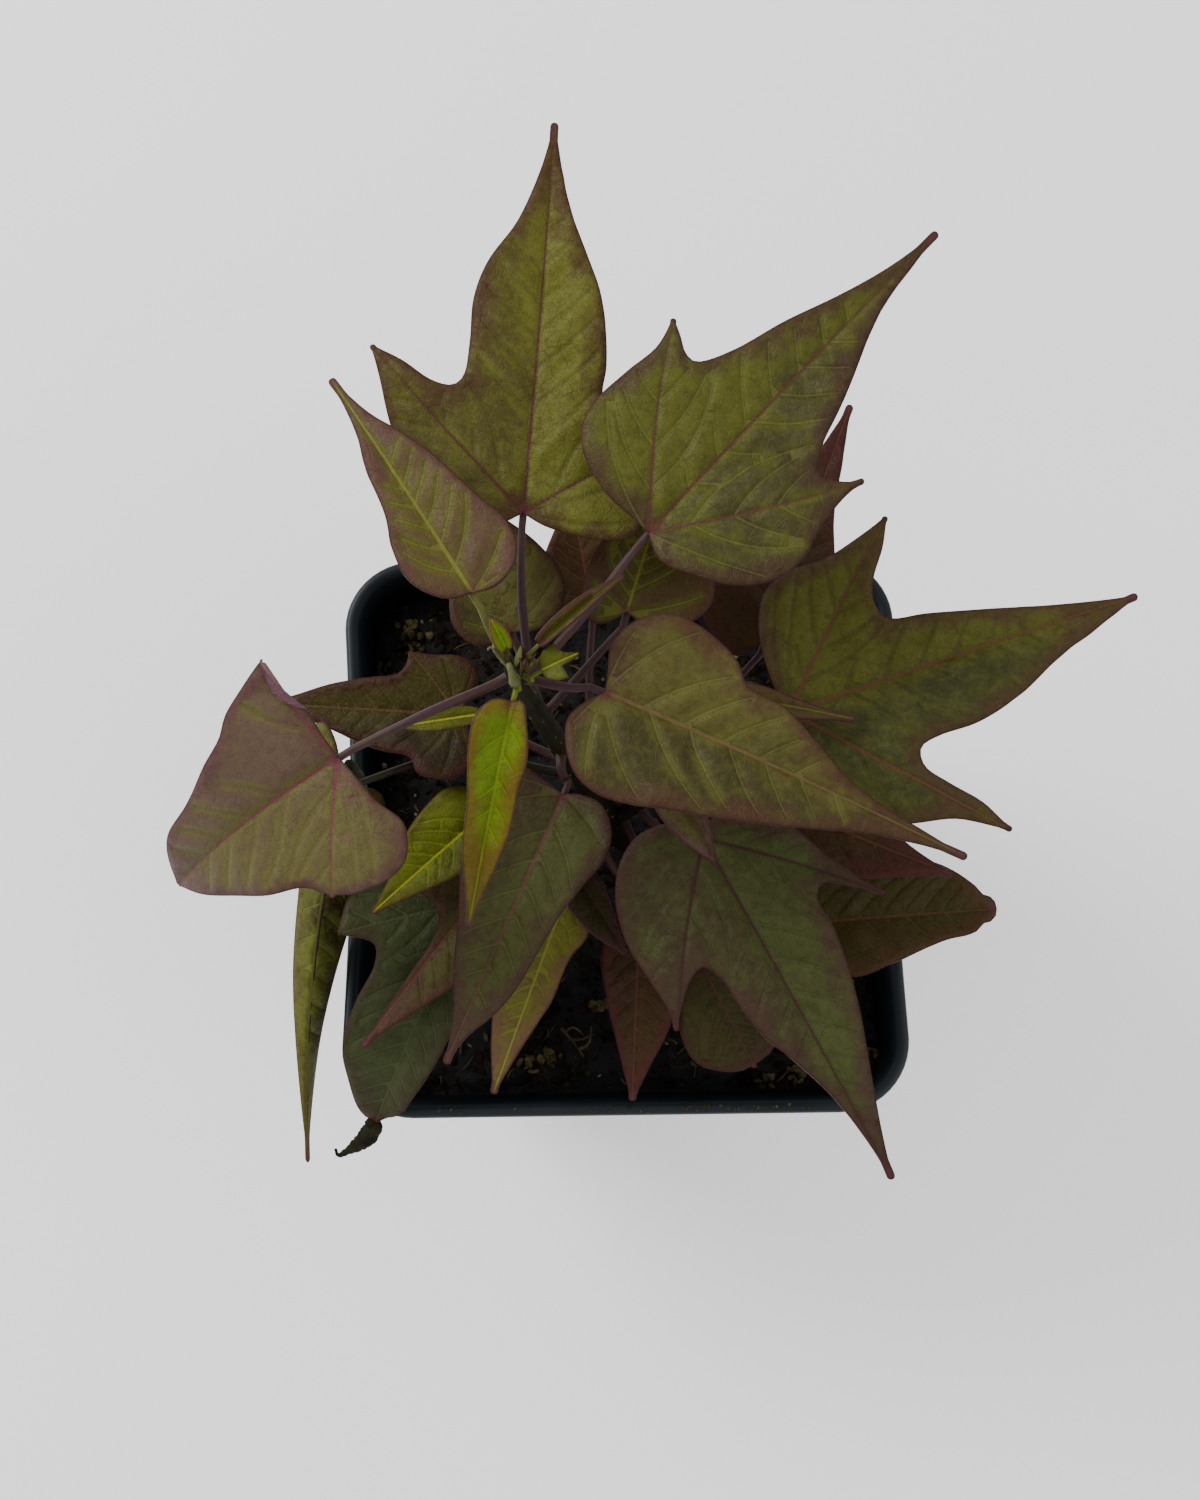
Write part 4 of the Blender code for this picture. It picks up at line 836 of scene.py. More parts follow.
def widths_along(path, radii):
    """A radius for each point of a path, from a few radii spread evenly over it."""
    return np.interp(np.linspace(0, len(radii) - 1, len(path)), range(len(radii)), radii)


def ring_faces(count, rings, first=0):
    """Faces that join rings of equal point count, with a cap on both ends."""
    last = first + (rings - 1) * count
    faces = []
    for low in range(first, last, count):
        for i in range(count):
            j = (i + 1) % count
            faces.append((low + i, low + j, low + count + j, low + count + i))
    faces.append(tuple(reversed(range(first, first + count))))
    faces.append(tuple(range(last, last + count)))
    return faces


def tube_mesh(name, path, radii, sides, materials, uneven=0.0, seed=1, flat=1.0):
    """A skin along a path, closed at both ends, round or flattened, uneven if asked."""
    rng = np.random.default_rng(seed)
    path = [Vector(p) for p in path]
    points = []
    travel = []
    walked = 0.0
    normal = None
    for i, spot in enumerate(path):
        ahead = (path[min(i + 1, len(path) - 1)] - path[max(i - 1, 0)]).normalized()
        if normal is None:
            normal = ahead.orthogonal().normalized()
        normal = (normal - ahead * normal.dot(ahead)).normalized()
        beside = ahead.cross(normal)
        walked += (spot - path[max(i - 1, 0)]).length
        wobble = 1.0 + uneven * rng.uniform(-1, 1)
        for k in range(sides):
            angle = 2 * math.pi * k / sides
            reach = radii[i] * wobble * (1.0 + uneven * 0.5 * rng.uniform(-1, 1))
            points.append(spot + (normal * math.cos(angle) * flat
                                  + beside * math.sin(angle)) * reach)
            travel.append(walked)
    return mesh_of(name, points, ring_faces(sides, len(path)), dict(travel=travel), materials)


# Leaves


def basal_angle(loop, angle, sign):
    """The widest angle up to the given one at which a vein from the junction has room."""
    while angle > 40:
        way = math.radians(angle * sign)
        probe = FAN_REACH * np.array([[math.cos(way), math.sin(way)]])
        if inside(probe, loop)[0] and edge_distance(probe, loop)[0] > FAN_MARGIN:
            break
        angle -= 3
    return angle


def vein_run(loop, others, start, angle, bend, free=0):
    """A vein that leaves the start at an angle and turns until it meets the edge or a vein.

    Over its first free steps it may run close to the edge.
    """
    line = [np.array(start, float)]
    direction = math.radians(angle)
    while len(line) * GRID < LONGEST_VEIN:
        step = line[-1] + GRID * np.array([math.cos(direction), math.sin(direction)])
        direction += math.radians(bend) * GRID
        spot = step[None]
        close = len(line) > free and edge_distance(spot, loop)[0] < EDGE_CLEAR
        if close or not inside(spot, loop)[0]:
            break
        if others and len(line) > 2 and distance_to_lines(spot, others)[0][0] < VEIN_CLEAR:
            break
        line.append(step)
    return np.array(line)


def angle_of(rib):
    """Angle in degrees at which a rib's end lies from the junction."""
    return math.degrees(math.atan2(rib[-1][1], rib[-1][0]))


def lobe_ribs(leaf):
    """Ribs that run from the junction to the tip of each side lobe, slightly bowed."""
    length = leaf["length"]
    ribs = []
    for tip in lobe_tips(leaf) if length > SMALL_LEAF else ():
        tip = Vector(tip)
        sign = math.copysign(1.0, tip.y)
        middle = tip * 0.5 + Vector((length * 0.02, 0.03 * sign * length))
        rib = smooth_path([(0, 0, 0), (*middle, 0), (*(tip * 0.96), 0)], CURVE_STEPS)
        ribs.append(spaced([p.to_2d() for p in rib], GRID))
    return ribs


def basal_fan(loop, ribs, own, sign):
    """Veins that leave the junction on one side, where the leaf's foot has room for them."""
    if own:
        fan = LOBED_FAN
    else:
        first = basal_angle(loop, PLAIN_FAN_WIDEST, sign)
        fan = [(first - turn, PLAIN_FAN_TURN) for turn in PLAIN_FAN
               if first - turn > PLAIN_FAN_NARROWEST]
    taken = [abs(angle_of(rib)) for rib in own]
    veins = []
    for angle, bend in fan:
        angle = basal_angle(loop, angle, sign)
        if any(abs(angle - other) < FAN_GAP for other in taken):
            continue
        vein = vein_run(loop, ribs, (0.0, 0.2 * sign), angle * sign, bend * sign, free=3)
        if len(vein) > 4:
            veins.append(vein)
            taken.append(angle)
    return veins


def lobe_veins(loop, ribs, rib, veins):
    """Short veins on both sides of a lobe's rib, clear of those that are there."""
    found = []
    count = int(len(rib) * GRID / LOBE_VEIN_GAP)
    others = [r for r in ribs if r is not rib] + veins
    for i in range(1, count + 1):
        root = rib[int(len(rib) * i / (count + 1))]
        for turn in (LOBE_VEIN, -LOBE_VEIN):
            vein = vein_run(loop, others + found, root, angle_of(rib) + turn,
                            -turn * LOBE_VEIN_TURN)
            if len(vein) > 3:
                found.append(vein)
    return found


def leaf_veins(leaf, loop):
    """Main ribs and side veins of the flat leaf, as lines from thick to thin."""
    length = leaf["length"]
    ribs = [spaced([(0.0, 0.0), (length * RIB_SHARE, 0.0)], GRID)] + lobe_ribs(leaf)
    veins = []
    for side, sign in SIDES:
        widest = max(p[1] for p in leaf[side])
        own = [r for r in ribs[1:] if (r[-1][1] > 0) == (sign > 0)]
        if widest > FAN_LEAF:
            veins += basal_fan(loop, ribs[1:], own, sign)
        for rib in own:
            veins += lobe_veins(loop, ribs, rib, veins)
        spacing = max(3.0, min(7.0, length / 8.5)) * (NET_CLOSER if leaf["net"] else 1.0)
        spacing *= leaf["veining"]
        station = spacing * (1.35 if own else 0.9) + (1.3 if side == "right" else 0.0)
        bend = -max(1.0, 26.0 / max(widest, 5.0))
        while station < length * LAST_VEIN:
            vein = vein_run(loop, ribs[1:] + veins, (station, 0.0), SIDE_VEIN * sign,
                            bend * sign)
            if len(vein) > 3:
                veins.append(vein)
            station += spacing * (1.0 - 0.35 * station / length)
    return ribs, veins


def line_gap(flat, lines, thick, thin):
    """Distance to the nearest line, and the same to the edge of its tapering width."""
    widths = np.concatenate([np.linspace(thick, thin, len(line) - 1) for line in lines])
    gap, which = distance_to_lines(flat, lines)
    return gap, gap - widths[which]


def fold_line(curl, across):
    """How far along the leaf its curled back edge folds, at places across it."""
    return np.interp(across * curl["side"], (0.0, curl["start"], curl["full"]),
                     (-9.0, -1.0, curl["line"]))


def ways(leaf, share):
    """Forward and sideways directions of the blade at shares of its midrib."""
    slope = np.radians(leaf["pitch"][0] + (leaf["pitch"][1] - leaf["pitch"][0]) * share)
    way = np.radians(leaf["heading"] + leaf["sweep"] * share)
    forward = np.stack([np.cos(slope) * np.cos(way), np.cos(slope) * np.sin(way),
                        np.sin(slope)], 1)
    side = np.stack([-np.sin(way), np.cos(way), np.zeros(len(way))], 1)
    return forward, side


def curled(curl, along, across, forward, skin):
    """How far the curled back edge of a blade moves, and its normal after that."""
    past = np.maximum(fold_line(curl, across) - along, 0.0)
    bend = curl["bend"]
    angle = np.minimum(past / bend, math.radians(curl["turn"]))
    rest = past - bend * angle
    back = bend * np.sin(angle) + rest * np.cos(angle)
    rise = bend * (1.0 - np.cos(angle)) + rest * np.sin(angle)
    move = forward * (past - back)[:, None] + skin * rise[:, None]
    return move, skin * np.cos(angle)[:, None] + forward * np.sin(angle)[:, None]


def bend_leaf(leaf, flat):
    """Where flat leaf points come to lie in space, and the blade's normal there."""
    length = leaf["length"]
    along = flat[:, 0]
    across = flat[:, 1]
    steps = ways(leaf, (np.arange(BEND_STEPS) + 0.5) / BEND_STEPS)[0] * length / BEND_STEPS
    rib = np.concatenate([np.zeros((1, 3)), np.cumsum(steps, 0)])
    share = np.clip(along / length, 0.0, 1.0)
    stations = np.linspace(0, 1, BEND_STEPS + 1)
    place = np.stack([np.interp(share, stations, rib[:, i]) for i in range(3)], 1)
    place += np.array(leaf["junction"], float)
    forward, side = ways(leaf, share)
    normal = np.cross(forward, side)
    place += forward * (along - share * length)[:, None]
    left = across > 0
    fold = np.radians(np.where(left, leaf["fold"][0], leaf["fold"][1]))
    droop = math.radians(leaf["droop"])
    width = np.abs(across)
    tilt = fold - droop * width
    lateral = (np.sin(fold) - np.sin(tilt)) / droop
    lift = (np.cos(tilt) - np.cos(fold)) / droop
    lift += (WAVE_HEIGHT * np.sin(2 * math.pi * along / WAVE_LENGTH + np.where(left, 0.0, 2.0))
             * np.minimum(width / WAVE_REACH, 1.0) ** 2)
    place += side * (lateral * np.sign(across))[:, None] + normal * lift[:, None]
    skin = (normal * np.cos(tilt)[:, None]
            - side * (np.sin(tilt) * np.sign(across))[:, None])
    if leaf["curl"]:
        move, skin = curled(leaf["curl"], along, across, forward, skin)
        place += move
    return place, skin, forward


def ripple(flat, seed):
    """Uneven relief of a leaf: broad waves, and puckers that run out from the midrib."""
    height = []
    for x, y in flat:
        broad = noise.noise(Vector((x / BROAD_WAVE, y / BROAD_WAVE, seed)))
        small = noise.noise(Vector((x / SMALL_WAVE, y / SMALL_WAVE, seed + 40.0)))
        slant = x - abs(y) * PUCKER_SLANT
        pucker = noise.noise(Vector((slant / PUCKER_WIDTH, y / PUCKER_LENGTH, seed + 80.0)))
        height.append(0.6 * broad + 0.22 * small
                      + 1.15 * pucker * math.exp(-(abs(y) / PUCKER_REACH) ** 2))
    return np.array(height)


def crease_lines(leaf, loop):
    """Lines that the mesh follows where a curled edge folds, one behind the other."""
    curl = leaf["curl"]
    reach = max(p[1] for p in leaf["right"]) - 0.8
    across = curl["side"] * np.arange(curl["start"], reach, 1.0)
    creases = []
    for step in CREASES:
        crease = np.stack([fold_line(curl, across) - step, across], 1)
        crease = crease[inside(crease, loop)]
        crease = crease[edge_distance(crease, loop) > 0.15]
        if len(crease) > 1:
            creases.append(crease)
    return creases


def turned_up(flat, faces):
    """The same triangles, each wound so that it faces up on the flat leaf."""
    facing = []
    for a, b, c in faces:
        ab = flat[b] - flat[a]
        ac = flat[c] - flat[a]
        facing.append((a, b, c) if ab[0] * ac[1] - ab[1] * ac[0] > 0 else (a, c, b))
    return facing


def blade_mesh(name, leaf, relief, materials):
    """Triangles of one blade in space, with its distances to edge and veins."""
    seed = sum(ord(c) * (i + 3) for i, c in enumerate(name))
    rng = np.random.default_rng(seed)
    loop = leaf_outline(leaf)
    ribs, veins = leaf_veins(leaf, loop)
    gap = GRID if leaf["length"] > SMALL_LEAF else FINE_GRID
    creases = crease_lines(leaf, loop) if leaf["curl"] else []
    flat, faces = triangles_in(loop, ribs + veins + creases, gap, rng)
    scale = min(1.0, leaf["length"] / FULL_LEAF)
    rib_gap, rib_line = line_gap(flat, ribs, RIB_HALF * scale + RIB_LEAST, RIB_END)
    vein_gap = vein_line = np.full(len(flat), FAR)
    if veins:
        vein_gap, vein_line = line_gap(flat, veins, VEIN_HALF, THIN_END)
    margin = edge_distance(flat, loop)
    place, skin, _ = bend_leaf(leaf, flat)
    near = np.minimum(rib_gap, vein_gap)
    fade = np.clip(margin / EDGE_FADE, 0.0, 1.0)
    lift = relief * scale * (1.0 - np.exp(-(near / SWELL_REACH) ** 2)) * fade
    lift -= relief * 0.5 * scale * np.exp(-(rib_gap / RIB_DIP) ** 2) * fade
    calm = np.clip(margin, 0.0, 1.0) * (1.0 - 0.9 * np.exp(-(rib_gap / RIB_CALM) ** 2))
    lift += leaf["ripple"] * ripple(flat, seed) * scale * (0.3 + 0.7 * fade) * calm
    attributes = dict(margin=margin, rib=rib_line, vein=vein_line,
                      flat_x=flat[:, 0], flat_y=flat[:, 1])
    return mesh_of(name, place + skin * lift[:, None], turned_up(flat, faces), attributes,
                   materials)


def stem_line(stem, steps):
    return smooth_path(STEMS[stem]["path"], steps)


def stem_station(stem, share):
    """Centre, direction and radius of a stem at a share of its path."""
    path = stem_line(stem, 4)
    where = share * (len(path) - 1)
    index = min(int(where), len(path) - 2)
    centre = path[index].lerp(path[index + 1], where - index)
    thick, thin = STEMS[stem]["radius"]
    direction = (path[index + 1] - path[index]).normalized()
    return centre, direction, thick + (thin - thick) * share


def leaf_spot(leaf, along, across=0.0):
    """One point of the blade with the skin's normal and the way of the midrib."""
    place, skin, forward = bend_leaf(leaf, np.array([[along, across]], float))
    return Vector(place[0]), Vector(skin[0]), Vector(forward[0])


def stalk_line(leaf):
    """Middle line and radii of a stalk, from inside its stem to under its midrib."""
    stem, share, between = leaf["stalk"]
    centre, direction, radius = stem_station(stem, share)
    junction, normal, forward = leaf_spot(leaf, 0.0)
    thick = leaf["stalk_radius"] * STALK_SLIM
    arrive = junction - forward * STALK_ARRIVAL - normal * (STALK_SINK + 0.75)
    target = Vector(between[0]) if between else arrive
    if share >= 1.0:
        out = direction
        start = centre - out * 0.5
        elbow = centre + out * STALK_ELBOW
    else:
        out = target - centre
        out = (out - direction * out.dot(direction)).normalized()
        start = centre + out * (radius - STALK_ROOT)
        elbow = centre + out * (radius + STALK_ELBOW)
    bends = [start, elbow] + [Vector(p) for p in between] + [arrive]
    path = smooth_path(bends, STALK_STEPS)
    radii = []
    for i, _ in enumerate(path):
        share = i / (len(path) - 1)
        radii.append(thick * (1.35 - 0.45 * share + 0.5 * math.exp(-(share / 0.07) ** 2)))
    path.append(junction - normal * (STALK_SINK + thick * 0.9))
    radii.append(thick * 0.92)
    length = leaf["length"]
    for station in RIB_STATIONS:
        spot, up, _ = leaf_spot(leaf, station * length)
        rib = min(0.5 * (1.0 - station) ** 1.2 + 0.1, thick * 0.85)
        path.append(spot - up * (0.4 + rib))
        radii.append(rib)
    return path, radii


# Materials


def blade_fields(shader, leaf):
    """What changes over one blade: places, distances, noise and the net of small veins."""
    shift = (len(leaf["skin"]) * 7.3, leaf["heading"] * 0.37, leaf["length"])
    flat = shader.scaled(shader.flat_place(), (1.0, 1.0, 1.0), shift)
    rib = shader.attribute("rib")
    vein = shader.attribute("vein")
    near = vein.below(rib)
    cloud = shader.noise(flat, 0.2, 3.0, 0.6)
    patches = shader.noise(flat, 0.7, 3.0, 0.62)
    fine = shader.noise(flat, 3.0, 3.0, 0.65)
    share = shader.attribute("flat_x") * (1.0 / leaf["length"])
    halo = near.ramp(0.0, 1.9 - leaf["net"] * 0.6, 1.0, 0.0)
    halo = halo * cloud.ramp(0.35 - leaf["net"] * 0.3, 0.65 - leaf["net"] * 0.2)
    net = shader.cells(flat, 0.42).ramp(0.0, 0.045, 1.0, 0.0) * patches.ramp(0.3, 0.6)
    veinlets = shader.cells(flat, 1.1).ramp(0.0, 0.09, 1.0, 0.0) * fine.ramp(0.3, 0.6)
    speck = shader.cells(flat, 0.8, "F1").ramp(0.03, 0.06, 1.0, 0.0) * cloud.ramp(0.56, 0.62)
    return SimpleNamespace(
        across=shader.attribute("flat_y"), margin=shader.attribute("margin"), rib=rib,
        vein=vein, near=near, broad=shader.noise(flat, 0.07, 2.0, 0.5), cloud=cloud,
        patches=patches, fine=fine, share=share, halo=halo, net=net, veinlets=veinlets,
        speck=speck)


def blade_tissue(shader, leaf, look, tones, over):
    """Colour between the veins: two halves in unlike light, green halos, purple margin."""
    sign = dict(SIDES)[leaf["dark"]]
    # Painted light and shade: one half of the blade in the lit tone, the other in the shaded tone
    half = (over.across * sign + (over.broad - 0.5) * 16.0).ramp(-2.5, 4.0)
    tissue = shader.mix(half, tones.lit, tones.dark)
    tissue = shader.mix(over.patches.ramp(0.5, 0.68) * 0.26, tissue, shaded(tones.dark, 0.66))
    tissue = shader.mix(over.patches.ramp(0.5, 0.34) * 0.24, tissue, shaded(tones.lit, 1.22))
    if leaf["net"]:
        tissue = shader.mix(leaf["net"] * 0.55, tissue, tones.margin)
    tissue = shader.mix(over.halo * (look.halo + leaf["net"] * 0.3), tissue, tones.green)
    reach = min(leaf["length"] * 0.085, 4.2)
    purple = (over.margin + (over.cloud - 0.5) * reach * 2.4).ramp(0.1, reach, 1.0, 0.0)
    purple = purple + (over.share + (over.cloud - 0.5) * 0.3).ramp(
        leaf["flush"], leaf["flush"] + 0.4)
    purple = purple.below(1.0) * (0.5 + over.patches * 0.6) * (
        1.0 - over.halo * leaf["net"] * 0.7)
    return shader.mix(purple.below(1.0), tissue, tones.margin)


def blade_veins(shader, leaf, look, tones, over, tissue):
    """The same colour with its net, side veins, their shadows and the ribs laid over it."""
    mesh = over.net * (0.16 + 0.12 * leaf["net"]) + over.veinlets * 0.16
    tissue = shader.mix(mesh.below(1.0), tissue, tones.vein)
    tissue = shader.mix(over.fine.ramp(0.5, 0.8) * 0.28, tissue, shaded(tones.margin, 0.45))
    vein = over.vein.ramp(-0.03, 0.14, 1.0, 0.0) * over.patches.ramp(0.2, 0.5, 0.5, 1.0)
    tissue = shader.mix(vein * (look.vein + leaf["net"] * 0.3), tissue, tones.vein)
    shade = over.near.ramp(0.12, 0.5, 1.0, 0.0) - over.near.ramp(0.0, 0.14, 1.0, 0.0)
    tissue = shader.mix(shade.above(0.0) * 0.22, tissue, shaded(tones.dark, 0.5))
    return shader.mix(over.rib.ramp(-0.06, 0.16, 1.0, 0.0) * 0.88, tissue, tones.rib)


def blade_ends(shader, leaf, look, over, tissue):
    """The same colour with the blunt end, the joint of the ribs, the rim and pale specks."""
    tissue = shader.mix(over.share.ramp(0.93, 0.99) * 0.75, tissue, look.fingertip)
    if leaf["length"] > SMALL_LEAF:
        reach = shader.node("ShaderNodeVectorMath", dict(operation="LENGTH"),
                            {0: shader.flat_place()}, "Value")
        tissue = shader.mix(reach.ramp(0.3, 2.0, 1.0, 0.0) * 0.6, tissue, look.joint)
    width = min(1.0, leaf["length"] / 30.0)
    rim = (over.margin + (over.fine - 0.5) * 0.3).ramp(0.05, 0.34 * width, 1.0, 0.0)
    tissue = shader.mix(rim * 0.7, tissue, look.rim)
    return shader.mix(over.speck * 0.6, tissue, (150, 148, 120))


def blade_material(leaf, look):
    """Upper skin of one leaf."""
    shader = Shader(leaf["skin"])
    # Painted light: every tone of the leaf is scaled by its light share
    tones = SimpleNamespace(**{
        part: shaded(tone, leaf["light"])
        for part, tone in zip(TONE_PARTS, PALETTES[leaf["tone"]])})
    over = blade_fields(shader, leaf)
    tissue = blade_tissue(shader, leaf, look, tones, over)
    tissue = blade_veins(shader, leaf, look, tones, over, tissue)
    tissue = blade_ends(shader, leaf, look, over, tissue)
    roughness = 0.5 + (over.patches - 0.5) * 0.25 + over.speck * 0.3
    height = (over.near.ramp(-0.1, 0.8) * 0.5 - over.net * 0.2 - over.veinlets * 0.15
              + over.fine * 0.25 + over.patches * 0.5)
    return shader.finish(look.gloss, Base_Color=tissue, Roughness=roughness,
                         Normal=shader.bump(height, 0.0004, 0.8))


def underside_material(name, tone, vein_tone):
    """Lower skin of the leaves, with raised pale veins."""
    shader = Shader(name)
    flat = shader.flat_place()
    near = shader.attribute("vein").below(shader.attribute("rib"))
    patches = shader.noise(flat, 0.4, 3.0, 0.6)
    net = shader.cells(flat, 0.8).ramp(0.0, 0.09, 1.0, 0.0)
    skin = shader.mix(patches.ramp(0.3, 0.7) * 0.6, tone, shaded(tone, 0.68))
    skin = shader.mix(net * 0.35, skin, vein_tone)
    skin = shader.mix(near.ramp(-0.05, 0.25, 1.0, 0.0) * 0.8, skin, vein_tone)
    height = near.ramp(-0.1, 0.7, 1.0, 0.0) + net * 0.35
    return shader.finish(Base_Color=skin, Roughness=0.58 + patches * 0.14,
                         Normal=shader.bump(height, 0.0004, 0.6))


def stalk_material(name, tone, green):
    """Smooth stalk skin with fine lengthwise streaks and a greener side."""
    shader = Shader(name)
    place = shader.place()
    travel = shader.attribute("travel")
    streaks = shader.noise(shader.scaled(place, (900.0, 900.0, 260.0)), 1.0, 3.0, 0.6)
    patches = shader.noise(place, 190.0, 3.0, 0.55)
    skin = shader.mix(patches.ramp(0.4, 0.72) * 0.55, tone, green)
    skin = shader.mix(streaks.ramp(0.45, 0.75) * 0.35, skin, shaded(tone, 0.6))
    skin = shader.mix(travel.ramp(0.0, 4.0, 1.0, 0.0) * 0.4, skin, green)
    return shader.finish(0.25, Base_Color=skin, Roughness=0.42 + patches * 0.16,
                         Normal=shader.bump(streaks, 0.00012, 0.5))


def stem_material(tone, green):
    """Older stem: green brown with dark streaks and small pale breathing pores."""
    shader = Shader("vine_stem_skin")
    place = shader.place()
    streaks = shader.noise(shader.scaled(place, (700.0, 700.0, 90.0)), 1.0, 4.0, 0.6)
    patches = shader.noise(place, 120.0, 3.0, 0.55)
    pores = shader.cells(shader.scaled(place, (1.0, 1.0, 0.45)), 700.0, "F1")
    pores = pores.ramp(0.12, 0.2, 1.0, 0.0) * patches.ramp(0.45, 0.6)
    skin = shader.mix(patches.ramp(0.35, 0.7), tone, green)
    skin = shader.mix(streaks.ramp(0.45, 0.7) * 0.5, skin, shaded(tone, 0.5))
    skin = shader.mix(pores * 0.6, skin, (150, 138, 108))
    return shader.finish(0.2, Base_Color=skin, Roughness=0.5 + streaks * 0.2,
                         Normal=shader.bump(streaks + pores, 0.0003, 0.6))


def pot_material(look):
    """Thin black moulded plastic: cool satin sheen, faint flow lines, scuffs, dust and a painted
    highlight along the top of the rim.
    """
    shader = Shader("pot_plastic")
    place = shader.place()
    height = shader.node("ShaderNodeSeparateXYZ", None, {0: place}, "Z")
    cloud = shader.noise(place, 38.0, 4.0, 0.6)
    grain = shader.noise(place, 900.0, 3.0, 0.6)
    flow = shader.noise(shader.scaled(place, (30.0, 30.0, 420.0)), 1.0, 3.0, 0.5)
    scuffs = shader.noise(shader.scaled(place, (60.0, 60.0, 1500.0)), 1.0, 2.0, 0.4)
    scuffs = scuffs.ramp(0.68, 0.76) * cloud.ramp(0.48, 0.62)
    dust = cloud.ramp(0.48, 0.75) * 0.5 + height.ramp(0.02, 0.0) * 0.4
    dust = dust * grain.ramp(0.3, 0.7)
    colour = shader.mix(flow.ramp(0.3, 0.7) * 0.5, look.plastic, look.streaks)
    # Painted highlight: a lighter band along the top of the rim, where the rim catches the light
    painted_rim_highlight = height.ramp(0.0815, 0.0868) * cloud.ramp(0.25, 0.6, 0.4, 1.0)
    colour = shader.mix(painted_rim_highlight * 0.55, colour, look.rim)
    colour = shader.mix(scuffs * 0.2, colour, (84, 88, 92))
    colour = shader.mix(dust.below(1.0) * 0.16, colour, (84, 80, 66))
    roughness = 0.36 + cloud * 0.14 + scuffs * 0.18 + dust * 0.3
    bumps = grain * 0.4 + flow * 0.6 - scuffs * 0.5
    return shader.finish(0.32, Base_Color=colour, Roughness=roughness,
                         Normal=shader.bump(bumps, 0.00012, 0.5))


def soil_material(tone):
    """Damp peat: near black, crumbly, with brown fibres showing through."""
    shader = Shader("soil_peat")
    place = shader.place()
    crumbs = shader.noise(place, 420.0, 6.0, 0.68)
    cloud = shader.noise(place, 60.0, 4.0, 0.6)
    grit = shader.cells(place, 900.0, "F1")
    colour = shader.mix(crumbs.ramp(0.38, 0.7), shaded(tone, 0.45), tone)
    colour = shader.mix(cloud.ramp(0.5, 0.75) * 0.5, colour, (44, 34, 20))
    colour = shader.mix(grit.ramp(0.1, 0.2, 1.0, 0.0) * cloud.ramp(0.45, 0.6), colour,
                        (80, 66, 40))
    return shader.finish(Base_Color=colour, Roughness=0.86 + cloud * 0.12,
                         Normal=shader.bump(crumbs + grit * 0.3, 0.0012, 0.9))


def bits_material(name, tone, other, roughness):
    """Small bits of one kind in the soil, each a little different along its length."""
    shader = Shader(name)
    place = shader.place()
    patches = shader.noise(place, 260.0, 3.0, 0.6)
    grain = shader.noise(place, 1600.0, 3.0, 0.6)
    colour = shader.mix(patches.ramp(0.35, 0.65), tone, other)
    colour = shader.mix(grain.ramp(0.4, 0.8) * 0.4, colour, shaded(tone, 0.5))
    return shader.finish(0.15, Base_Color=colour, Roughness=roughness + patches * 0.1,
                         Normal=shader.bump(grain, 0.0003, 0.6))


# Pot and soil shapes


def square_ring(half_x, half_y, corner, height, bow=0.0):
    """Points of a rounded square at one height, with sides that bow in by the given depth."""
    points = []
    for side in range(4):
        start = math.pi / 2 * side
        sign_x = 1 if side in (0, 3) else -1
        sign_y = 1 if side in (0, 1) else -1
        centre = Vector((sign_x * (half_x - corner), sign_y * (half_y - corner), height))
        for step in range(CORNER_STEPS + 1):
            angle = start + math.pi / 2 * step / CORNER_STEPS
            points.append(centre + corner * Vector((math.cos(angle), math.sin(angle), 0)))
        following = (side + 1) % 4
        end_x = (1 if following in (0, 3) else -1) * (half_x - corner)
        end_y = (1 if following in (0, 1) else -1) * (half_y - corner)
        out = Vector((math.cos(start + math.pi / 2), math.sin(start + math.pi / 2), 0))
        last = points[-1]
        first = Vector((end_x, end_y, height)) + corner * out
        for step in range(1, SIDE_STEPS):
            share = step / SIDE_STEPS
            inward = bow * math.sin(math.pi * share) * abs(out.x)
            points.append(last.lerp(first, share) - out * inward)
    return points


def wall_ring(height, inset=0.0, lip=0.0):
    """Outline of the tapering pot at one height, moved in or out from its side."""
    share = height / POT_HEIGHT
    corner = BASE_CORNER + (RIM_CORNER - BASE_CORNER) * share - inset + lip
    half_x = BASE_WIDTH / 2 + (RIM_WIDTH / 2 - LIP_STEP - BASE_WIDTH / 2) * share
    half_y = BASE_WIDTH / 2 + (RIM_DEPTH / 2 - LIP_STEP - BASE_WIDTH / 2) * share
    return square_ring(half_x - inset + lip, half_y - inset + lip, corner, height,
                       SIDE_BOW * share)


def lofted(name, rings, material):
    """Skin a closed solid over rings of equal point count."""
    mesh = mesh_of(name, [p for ring in rings for p in ring],
                   ring_faces(len(rings[0]), len(rings)), None, (material,))
    for face in mesh.polygons[-2:]:
        face.use_smooth = False
    return mesh


def soil_height(x, y):
    """Height of the soil's uneven surface at places in the pot."""
    height = SOIL_TOP - SOIL_MOUND + SOIL_MOUND * (1 - np.hypot(x, y) / 60.0)
    for size, amount, turn in SOIL_WAVES:
        a = x * math.cos(turn) + y * math.sin(turn)
        b = y * math.cos(turn) - x * math.sin(turn)
        height = height + amount * np.sin(a * 2 * math.pi / size) * np.cos(
            b * 2 * math.pi / (size * 1.13) + turn)
    return height


def height_at(x, y):
    return float(soil_height(np.array(x), np.array(y)))


